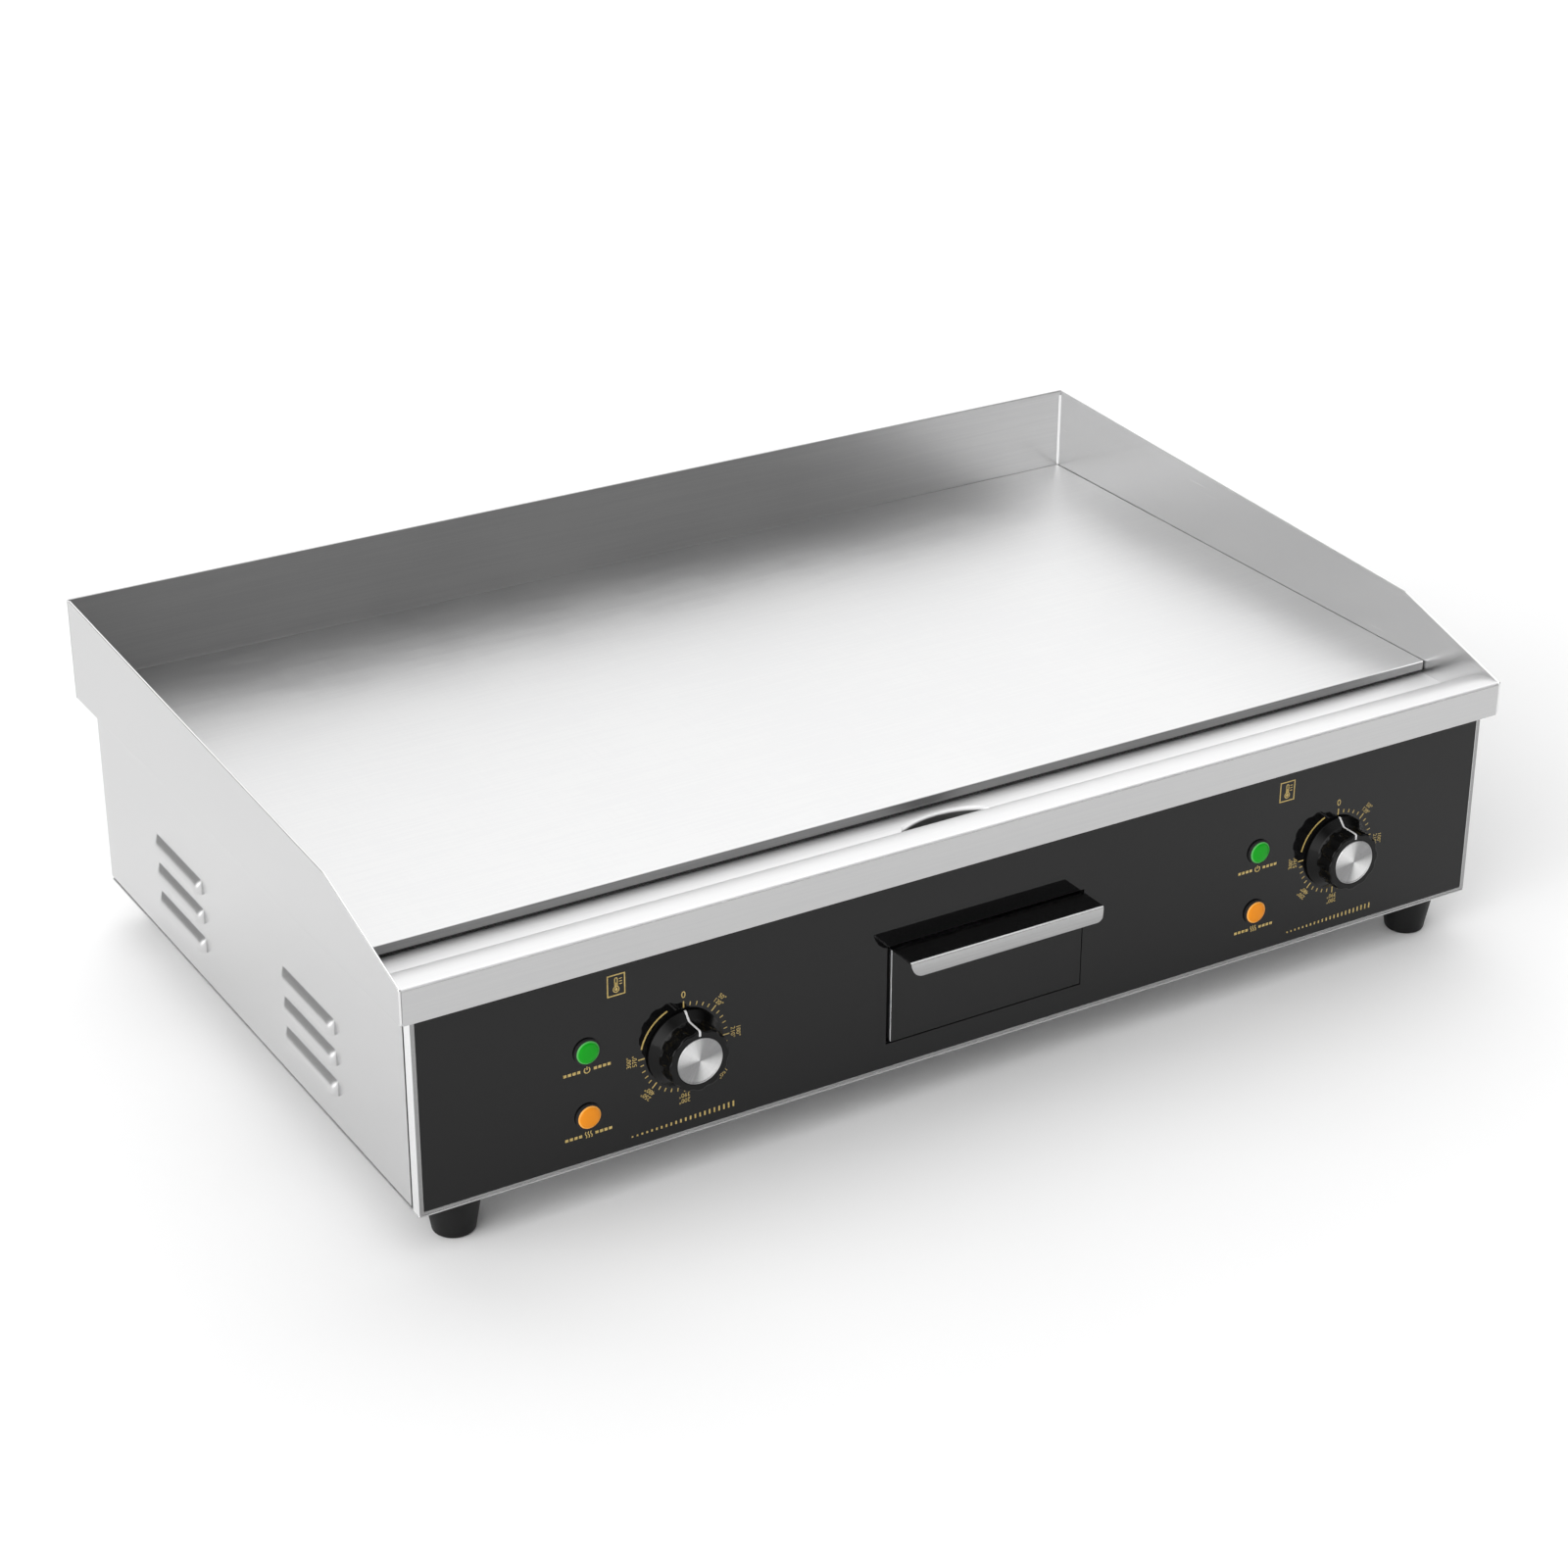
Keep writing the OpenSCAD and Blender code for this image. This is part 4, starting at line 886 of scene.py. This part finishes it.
def lamp(name):
    """Pilot lamp lens: a flat rim, a fine step and a low dome, on its stem."""
    low, high = box(f"{name}_lens")
    at, face_y = lamps[name], fascia_low.y
    radius, proud = (high.x - low.x) / 2, face_y - low.y
    stem = [(1, face_y - high.y), (LAMP_HOLE - 0.05, face_y - high.y), (LAMP_HOLE - 0.05, 0.05)]
    rim = [(radius - 0.1, 0.02), (radius, 0.15), (radius, 1.1), (radius - 0.15, 1.4), (radius - 0.5, 1.55),
           (radius - 1.0, 1.55), (radius - 1.15, 1.45), (radius - 1.3, 1.55)]
    dome = [(radius - 1.5 - (radius - 2) * (1 - cos(t)), 1.75 + (proud - 1.75) * sin(t))
            for t in (pi / 2 * k / 12 for k in range(13))]
    side, hue = name.split("_")
    solid = turned(stem + rim + dome, towards_cook(at, face_y), 72)
    made = piece(f"{name}_lens_cap", [solid], [f"{name}_lens"], f"lens_{hue}",
                 side_finish(side, f"lens_{hue}"), 30)
    # Painted shade: a dark ring round the lens's foot, for its shadow and dark reflection on the panel.
    refinish(made, painted_shade, lambda spot, normal: hypot(spot.x - at.x, spot.z - at.z) > radius - 0.8)


# ---- Grease drawer ----

HANDLE_BEND, LIP_CURL = SHEET + 0.1, 0.9
LEFT_CORNER, RIGHT_CORNER = (9, 12), (3.5, 3.5)


def corner_inset(height, wide, tall):
    """How far a round lower corner is set in at a height above its edge."""
    return wide * (1 - sqrt(max(1 - (1 - min(height / tall, 1)) ** 2, 0)))


def drawer():
    """Drawer front pan, its black face and the folded handle, and the open box behind them."""
    face_low, face_high = box("drawer_face")
    edges = rounded(front_of(pan_low, pan_high), 0.8)
    screws = [circle(x, (pan_low.z + handle_high.z) / 2, SCREW_HOLE, 24) for x in (-40, 40)]
    web = slab(edges, pan_low.y, pan_low.y + SHEET, facing, screws, edge=(0.3, 0.1))
    rim = slab(edges, pan_low.y + SHEET, pan_high.y, facing, [front_of(pan_low, pan_high, 0.8)],
               edge=(0, 0.15))
    made = piece("drawer_pan", [web, rim], ["drawer_front"], "steel_frame", body="drawer")
    # Painted shade: the pan's left side near-black, for the shaded gap beside the drawer.
    refinish(made, painted_shade, lambda spot, normal: normal.x < -0.5 and spot.x < pan_low.x + 0.5)

    outline = rounded(front_of(face_low, face_high), 0.8)
    face = slab(outline, face_low.y, face_high.y, facing, edge=(0.35, 0.1))
    made = piece("drawer_face_panel", [face], ["drawer_face"], "gloss_black", body="drawer")
    # The face's left side edge is bare steel, made bright with the near-white steel of the painted
    # highlights.
    refinish(made, painted_highlight_steel, lambda spot, normal: normal.x < -0.6)

    low, high, bend = handle_low, handle_high, HANDLE_BEND
    line = [Vector((high.y, high.z)), Vector((low.y + 12, high.z))]
    line += arc(low.y + bend, high.z - bend, bend, 90, 180, 8)
    for k in range(1, 17):
        down = sin(pi / 2 * k / 16)
        line.append(Vector((low.y + LIP_CURL * down ** 2, high.z - bend - (high.z - bend - low.z) * down)))
    outer, inner = [], []
    for p, way in zip(line, ways_along(line)):
        above = p.y - low.z
        left, right = low.x + corner_inset(above, *LEFT_CORNER), high.x - corner_inset(above, *RIGHT_CORNER)
        for rows, shift in ((outer, 0), (inner, SHEET)):
            at = p + Vector((-way.y, way.x)) * shift
            rows.append([Vector((left + (right - left) * c / 24, at.x, at.y)) for c in range(25)])
    # The handle is in a darker steel, painted shade, with a painted highlight along its upper fold.
    made = piece("drawer_handle_fold", [grid_skin(outer, inner)], ["drawer_handle"], "steel_frame",
                 handle_painted_shade, 45, "drawer")
    refinish(made, painted_highlight_steel, lambda spot, normal: normal.y < -0.3 and normal.z > 0.35)
    soften(made, 0.22)

    low, high = box("drawer_tray")
    plan = rounded(plan_of(low, high), 3, 6)
    steps = [(1.0, low.z), (0.3, low.z + 0.3), (0, low.z + 1), (0, high.z - 0.3), (0.15, high.z),
             (0.85, high.z), (1.0, high.z - 0.3), (1.0, low.z + 2), (1.3, low.z + 1.3), (2.0, low.z + 1)]
    rings = [[p.to_3d() + Vector((0, 0, z)) for p in (offset(wound(plan, True), inset) if inset else plan)]
             for inset, z in steps]
    piece("drawer_box", [loft(rings)], ["drawer_tray"], "steel_inner", body="drawer")


def soften(made, width):
    """Small bevels on an object's hard edges."""
    bevel = made.modifiers.new("edges", "BEVEL")
    bevel.width = width * MM
    bevel.segments = 2
    bevel.limit_method = "ANGLE"
    bevel.angle_limit = radians(50)
    bevel.harden_normals = False
    made.modifiers.move(len(made.modifiers) - 1, 0)


# ---- Base, feet, screws and cable gland ----

feet = {f"foot_{end}_{side}": middle(f"foot_{end}_{side}") for end in ("front", "rear") for side in dials}
SCREW_X, SCREW_YS = body_right - 8, (-180, 0, 170)
screw_low, screw_high = box("body_screws")
screw_places = [(side * SCREW_X, y) for side in (-1, 1) for y in SCREW_YS]
screw_places += [(x, y) for x in (-300, -110, 110, 300) for y in (body_front + 7.5, body_rear - 6)]
BASE_VENTS = ((-230, -60), (230, -60), (0, 60))
BASE_VENT_LENGTH, BASE_VENT_PITCH, BASE_VENT_ROWS = 70, 12, 6
BOLT_HOLE, BODY_SCREW_HOLE = 2.55, 1.95
HEAD_R, SHANK_R = 3.5, 1.85


def base():
    """Base plate with holes for the feet and screws, and three groups of vent slots."""
    holes = [circle(at.x, at.y, BOLT_HOLE, 24) for at in feet.values()]
    holes += [circle(x, y, BODY_SCREW_HOLE, 20) for x, y in screw_places]
    for x, y in BASE_VENTS:
        holes += [slot_hole(x, y + BASE_VENT_PITCH * i, BASE_VENT_LENGTH, VENT_HEIGHT)
                  for i in range(BASE_VENT_ROWS)]
    outline = rounded(plan_of(plate_low, plate_high), 1)
    sheet = slab(outline, plate_low.z, plate_high.z, lying, holes, edge=(0.3, 0.5), hole_edge=(0.15, 0.15))
    piece("base_sheet", [sheet], ["base_plate"])


FOOT_BOTTOM, FOOT_EDGE = 12.2, 2.2
BOLT_BORE, RECESS_R, RECESS_TOP = 2.6, 6.5, 12


def foot(name):
    """Tapered rubber foot with a round lower edge, a bolt recess and a moulded shoulder."""
    low, high = box(name)
    at, top, radius = feet[name], high.z, (high.x - low.x) / 2
    line = [(RECESS_R, 0.4), (RECESS_R + 0.4, 0)]
    line += arc(FOOT_BOTTOM - FOOT_EDGE, FOOT_EDGE, FOOT_EDGE, -90, 0, 8)
    line += [(radius - 0.12, top - 0.8), (radius - 0.05, top - 0.3), (radius - 0.4, top), (BOLT_BORE, top),
             (BOLT_BORE, RECESS_TOP), (RECESS_R - 0.3, RECESS_TOP), (RECESS_R, RECESS_TOP - 0.3)]
    solid = turned(line, lambda u, v, w: Vector((at.x + u, at.y + v, w)), 72, tube=True)
    piece(f"{name}_rubber", [solid], [name], "foot_rubber")


def cross_outline(x, y, reach=1.9, half=0.42):
    quarter = [(half, half), (half, reach), (-half, reach), (-half, half)]
    out = []
    for k in range(4):
        c, s = cos(k * pi / 2), sin(k * pi / 2)
        out += [Vector((x + u * c - v * s, y + u * s + v * c)) for u, v in quarter[:3]]
    return out


def body_screws():
    """Pan-head screws under the base, each with a cross recess."""
    solids = []
    head_top = body_bottom - SHEET
    for x, y in screw_places:
        head = circle(x, y, HEAD_R, 32)
        solids.append(slab(head, screw_low.z, head_top, lying, [cross_outline(x, y)], edge=(0.7, 0.1),
                           hole_edge=(0.12, 0.05)))
        solids.append(slab(circle(x, y, 3.0, 24), screw_low.z + 1.2, head_top, lying, edge=0))
        solids.append(slab(circle(x, y, SHANK_R, 20), head_top, screw_high.z, lying, edge=(0, 0.4)))
    piece("body_screw_heads", solids, ["body_screws"], "zinc_fastener")


GLAND_BORE, GLAND_NECK, GLAND_CAP = 5, 8, 11


def gland():
    """Cable gland: hexagon, ribbed cap nut, round mouth, threaded neck and its nut inside."""
    low, high = box("cable_gland")
    nut_low, nut_high = box("gland_nut")
    x, z, hexagon = gland_middle.x, gland_middle.z, (high.x - low.x) / 2
    body_side, hex_end, cap_end = body_rear, body_rear + 6, high.y - 5

    def six(radius):
        return rounded(circle(x, z, radius, 6), 0.8, 3)

    def place(u, v, w):
        return Vector((x + u, w, z + v))

    def ribs(angle, radius, height):
        inside = smooth(height, hex_end + 0.6, hex_end + 1.6) * (1 - smooth(height, cap_end - 1.2, cap_end))
        return radius - 0.35 * (0.5 + 0.5 * cos(24 * angle)) * inside * smooth(radius, 9.5, 10.5)

    cap = [(GLAND_BORE, hex_end), (GLAND_CAP - 0.4, hex_end)]
    cap += [(GLAND_CAP, y) for y in (hex_end + 0.4, hex_end + 1, hex_end + 1.8, cap_end - 1.4, cap_end - 0.6)]
    cap += [(10.8, cap_end), (8.2, high.y - 0.8),
           (7.6, high.y - 0.15), (7.0, high.y), (5.6, high.y), (GLAND_BORE, high.y - 0.6)]
    neck = [(GLAND_BORE, low.y), (GLAND_NECK - 0.4, low.y), (GLAND_NECK, low.y + 0.4),
            (GLAND_NECK, body_side), (GLAND_BORE, body_side)]
    flats = slab(six(hexagon), body_side, hex_end, facing, [circle(x, z, GLAND_BORE)], edge=(0.2, 0.6),
                 hole_edge=(0, 0))
    solids = [flats, turned(cap, place, 144, ribs, tube=True), turned(neck, place, 64, tube=True)]
    piece("cable_gland_body", solids, ["cable_gland"], "gland_black")
    ring = slab(six(hexagon), nut_low.y, nut_high.y, facing, [circle(x, z, GLAND_NECK + 0.06)], edge=0.4,
                hole_edge=CUT_EDGE)
    piece("gland_ring_nut", [ring], ["gland_nut"], "gland_black")


for side in (-1, 1):
    side_panel(side)
for part in (rear_panel, front_frame, fascia, rear_wall, trough, griddle, drawer, base, body_screws, gland):
    part()
for side in (-1, 1):
    side_wall(side)
for side in dials:
    knob(side)
for name in lamps:
    lamp(name)
for name in feet:
    foot(name)


# ---- Printing on the fascia: generic marks in place of all wording ----

INK = 0.06
DIAL_NUMBERS = [(0, ("0",)), (45, ("50°", "120°")), (90, ("100°", "210°")), (135, ("150°", "300°")),
                (180, ("200°", "390°")), (225, ("250°", "480°")), (270, ("300°", "570°"))]
NUMBER_OUT, NUMBER_ROW, NUMBER_SIZE, ZERO_SIZE = 32, 3.5, 3.8, 5.8
TICK_STEP, TICKS, LONG_TICK_EVERY = 9, 31, 5
LONG_TICK, SHORT_TICK = (24.2, 28.2, 0.75), (25.0, 27.2, 0.6)
SIGN_BELOW_LAMP, BARS_BELOW_DIAL = 11.5, 45.3
THERMOMETER_AT = Vector((-40.5, 50))


def ink(outline, holes=()):
    """A printed mark, raised by the thickness of its ink."""
    return slab(outline, fascia_low.y - INK, fascia_low.y + 0.02, facing, holes, edge=0)


def dialled(points, centre, clockwise=0):
    """Points drawn for the top of a dial, turned clockwise about its middle."""
    c, s = cos(radians(clockwise)), sin(radians(clockwise))
    return [Vector((centre.x + p.x * c + p.y * s, centre.z - p.x * s + p.y * c)) for p in points]


def lettering(text, size, centre, clockwise, out):
    """A number in the built-in font as raised ink, out from a dial's middle."""
    curve = bpy.data.curves.new("lettering", "FONT")
    curve.body, curve.align_x, curve.align_y = text, "CENTER", "CENTER"
    curve.size, curve.extrude, curve.resolution_u = size, 0.5, 3
    maker = bpy.data.objects.new("lettering", curve)
    mesh = bpy.data.meshes.new_from_object(maker)
    work = bmesh.new()
    work.from_mesh(mesh)
    bmesh.ops.remove_doubles(work, verts=work.verts, dist=1e-4)
    flat = dialled([Vector((v.co.x, v.co.y + out)) for v in work.verts], centre, clockwise)
    heights = [fascia_low.y - INK if v.co.z > 0 else fascia_low.y + 0.02 for v in work.verts]
    work.verts.index_update()
    faces = [tuple(v.index for v in face.verts) for face in work.faces]
    work.free()
    bpy.data.objects.remove(maker)
    bpy.data.curves.remove(curve)
    bpy.data.meshes.remove(mesh)
    return [facing(p.x, p.y, y) for p, y in zip(flat, heights)], faces


def band(line, width):
    """Outline of a stroke of even width along a line."""
    left, right = [], []
    for p, way in zip(line, ways_along(line)):
        out = Vector((-way.y, way.x)) * width / 2
        left.append(p + out)
        right.append(p - out)
    return left + right[::-1]


def dial_scale(dial):
    """Ticks and numbers round a dial, and the arc beside its zero."""
    marks = []
    for step in range(TICKS):
        inner, outer, width = SHORT_TICK if step % LONG_TICK_EVERY else LONG_TICK
        marks.append(ink(dialled(rect(-width / 2, inner, width / 2, outer), dial, step * TICK_STEP)))
    for angle, rows in DIAL_NUMBERS:
        for i, text in enumerate(rows):
            shift = NUMBER_ROW * ((len(rows) - 1) / 2 - i)
            size = ZERO_SIZE if text == "0" else NUMBER_SIZE
            marks.append(lettering(text, size, dial, angle, NUMBER_OUT + shift))
    marks.append(ink(dialled(band(arc(0, 0, 26.8, 112, 167, 24), 1.0), dial)))
    return marks


def thermometer_sign(x, z):
    """Framed thermometer, a common sign for a temperature control."""
    def at(points):
        return [Vector((x + p.x, z + p.y)) for p in points]

    bulb_z, bulb, stem, top = -2.6, 2.0, 1.05, 4.6
    reach = degrees(asin(stem / bulb))
    shell = arc(0, bulb_z, bulb, 90 + reach, 450 - reach, 20) + arc(0, top - stem, stem, 0, 180, 8)
    bore = arc(0, bulb_z, bulb - 0.55, 110, 430, 20) + arc(0, top - stem, stem - 0.55, 0, 180, 6)
    mercury = arc(0, bulb_z, 0.95, 108, 432, 16) + [Vector((0.28, 1.5)), Vector((-0.28, 1.5))]
    sign_frame = ink(at(rect(-5.5, -6.5, 5.5, 6.5)), [at(rect(-4.8, -5.8, 4.8, 5.8))])
    marks = [ink(at(rect(1.9, h - 0.25, 3.6, h + 0.25))) for h in (0.2, 1.8, 3.4)]
    return [sign_frame, ink(at(shell), [at(bore)]), ink(at(mercury))] + marks


def dashes(x, z, inner, outer, count=4, height=1.7):
    """A row of dashes on each side of a sign."""
    pitch = (outer - inner) / count
    marks = []
    for side in (-1, 1):
        for i in range(count):
            near, far = side * (inner + pitch * i), side * (inner + pitch * (i + 0.7))
            marks.append(ink(rect(x + min(near, far), z - height / 2, x + max(near, far), z + height / 2)))
    return marks


def power_sign(x, z):
    """Broken ring with a bar, a common sign for power."""
    return [ink(band(arc(x, z, 1.7, 125, 415, 24), 0.6)), ink(rect(x - 0.3, z + 0.2, x + 0.3, z + 2.2))]


def heat_sign(x, z):
    """Three rising waves, a common sign for heat."""
    marks = []
    for dx in (-1.6, 0, 1.6):
        wave = [Vector((x + dx + 0.45 * sin(TAU * k / 12), z - 1.9 + 3.8 * k / 12)) for k in range(13)]
        marks.append(ink(band(wave, 0.55)))
    return marks


def rising_bars(x, z):
    """A row of bars that grow to the right, for the range of the temperature dial."""
    marks = []
    for i in range(22):
        at, height = x - 31.5 + 3 * i, 0.9 + 2.6 * i / 21
        marks.append(ink(rect(at - 0.5, z - 1.75, at + 0.5, z - 1.75 + height)))
    return marks


def printing(side):
    """All the printing that belongs to one dial and its two lamps."""
    dial = dials[side]
    marks = dial_scale(dial) + thermometer_sign(dial.x + THERMOMETER_AT.x, dial.z + THERMOMETER_AT.y)
    for hue, sign in (("green", power_sign), ("amber", heat_sign)):
        lamp_at = lamps[f"{side}_{hue}"]
        sign_z = lamp_at.z - SIGN_BELOW_LAMP
        marks += sign(lamp_at.x, sign_z) + dashes(lamp_at.x, sign_z, 4, 15)
    marks += rising_bars(dial.x - 1, dial.z - BARS_BELOW_DIAL)
    piece(f"{side}_dial_printing", marks, (), "gloss_black", gold_ink)


for side in dials:
    printing(side)

# ---- Camera, floor and light ----

def camera():
    """The photograph's viewpoint; the angles are the camera's azimuth, elevation and roll."""
    place = Vector((-0.96599, -1.60395, 1.02048))
    azimuth, elevation, roll = radians(-31.0632), radians(26.3182), radians(0.1516)
    back = Vector((sin(azimuth) * cos(elevation), -cos(azimuth) * cos(elevation),
                   sin(elevation)))
    right = Vector((0, 0, 1)).cross(back).normalized()
    up = back.cross(right)
    right, up = (right * cos(roll) + up * sin(roll), up * cos(roll) - right * sin(roll))
    data = bpy.data.cameras.new("camera")
    data.lens, data.sensor_width = 78.07, 36
    data.clip_start, data.clip_end = 0.05, 60
    made = place_object("camera", data)
    made.matrix_world = Matrix.Translation(place) @ Matrix((right, up, back)).transposed().to_4x4()
    bpy.context.scene.camera = made


def floor():
    """A pale floor, seen only from above, so that the underside can be looked at."""
    half = 9
    mesh = bpy.data.meshes.new("floor")
    mesh.from_pydata([p.to_3d() for p in rect(-half, -half, half, half)], [], [(0, 1, 2, 3)])
    made = place_object("floor", mesh)
    material, tree, shader = new_finish("floor", Roughness=0.9)
    shader.inputs["Specular IOR Level"].default_value = 0.1
    wire(tree, shader, blend_colour(tree, noise(tree, 3, 2), grey(0.93), grey(0.95)))
    clear = add(tree, "BsdfTransparent").outputs["BSDF"]
    behind = add(tree, "NewGeometry").outputs["Backfacing"]
    mix = add(tree, "MixShader", {0: behind, 1: shader.outputs["BSDF"], 2: clear})
    tree.links.new(mix.outputs["Shader"], tree.nodes["Material Output"].inputs["Surface"])
    mesh.materials.append(material)


OVERHEAD_POWER = 3.2
SKY_LEVEL = 0.01
SKY_GLOWS = [
    ((0.46, 0.77, 0.44), 0.50, 1.24),
    ((0.26, -0.10, 0.93), 0.55, 0.80),
    ((-1.0, -0.25, 0.35), 0.50, 3.0),
    ((-0.46, 0.77, 0.05), 0.75, 0.34),
]


def world():
    """A soft studio: an even level with wide, smooth glows from a few sides."""
    made = bpy.data.worlds.new("studio")
    made.use_nodes = True
    bpy.context.scene.world = made
    tree = made.node_tree
    way = add(tree, "TexCoord").outputs["Generated"]
    light = SKY_LEVEL
    for side, edge, strength in SKY_GLOWS:
        lean = vector_math(tree, "DOT_PRODUCT", way, tuple(Vector(side).normalized()), "Value")
        inputs = {"Value": lean, "From Min": edge, "From Max": 0.97, "To Min": 0.0, "To Max": strength}
        glow = add(tree, "MapRange", inputs, interpolation_type="SMOOTHSTEP").outputs["Result"]
        light = add(tree, "Math", {0: glow, 1: light}, operation="ADD").outputs["Value"]
    tree.links.new(light, tree.nodes["Background"].inputs["Strength"])
    tree.nodes["Background"].inputs["Color"].default_value = (1, 1, 1, 1)


def softbox(name, place, target, size, power):
    data = bpy.data.lights.new(name, "AREA")
    data.shape, data.size, data.size_y, data.energy = "RECTANGLE", size[0], size[1], power
    made = place_object(name, data)
    made.location = place
    made.rotation_mode = "QUATERNION"
    made.rotation_quaternion = (Vector(target) - Vector(place)).to_track_quat("-Z", "Y")


camera()
floor()
world()
softbox("overhead", (0.3, 0.2, 2.4), (0, 0, 0.1), (2.4, 2.4), OVERHEAD_POWER)
bpy.context.scene.view_settings.view_transform = "Standard"

for part in frame["record"]["subparts"]:
    cad = frame["nodes"][part["node"]]
    cad.data.materials.clear()
    cad.data.materials.append(finishes[part["material_slot"]])
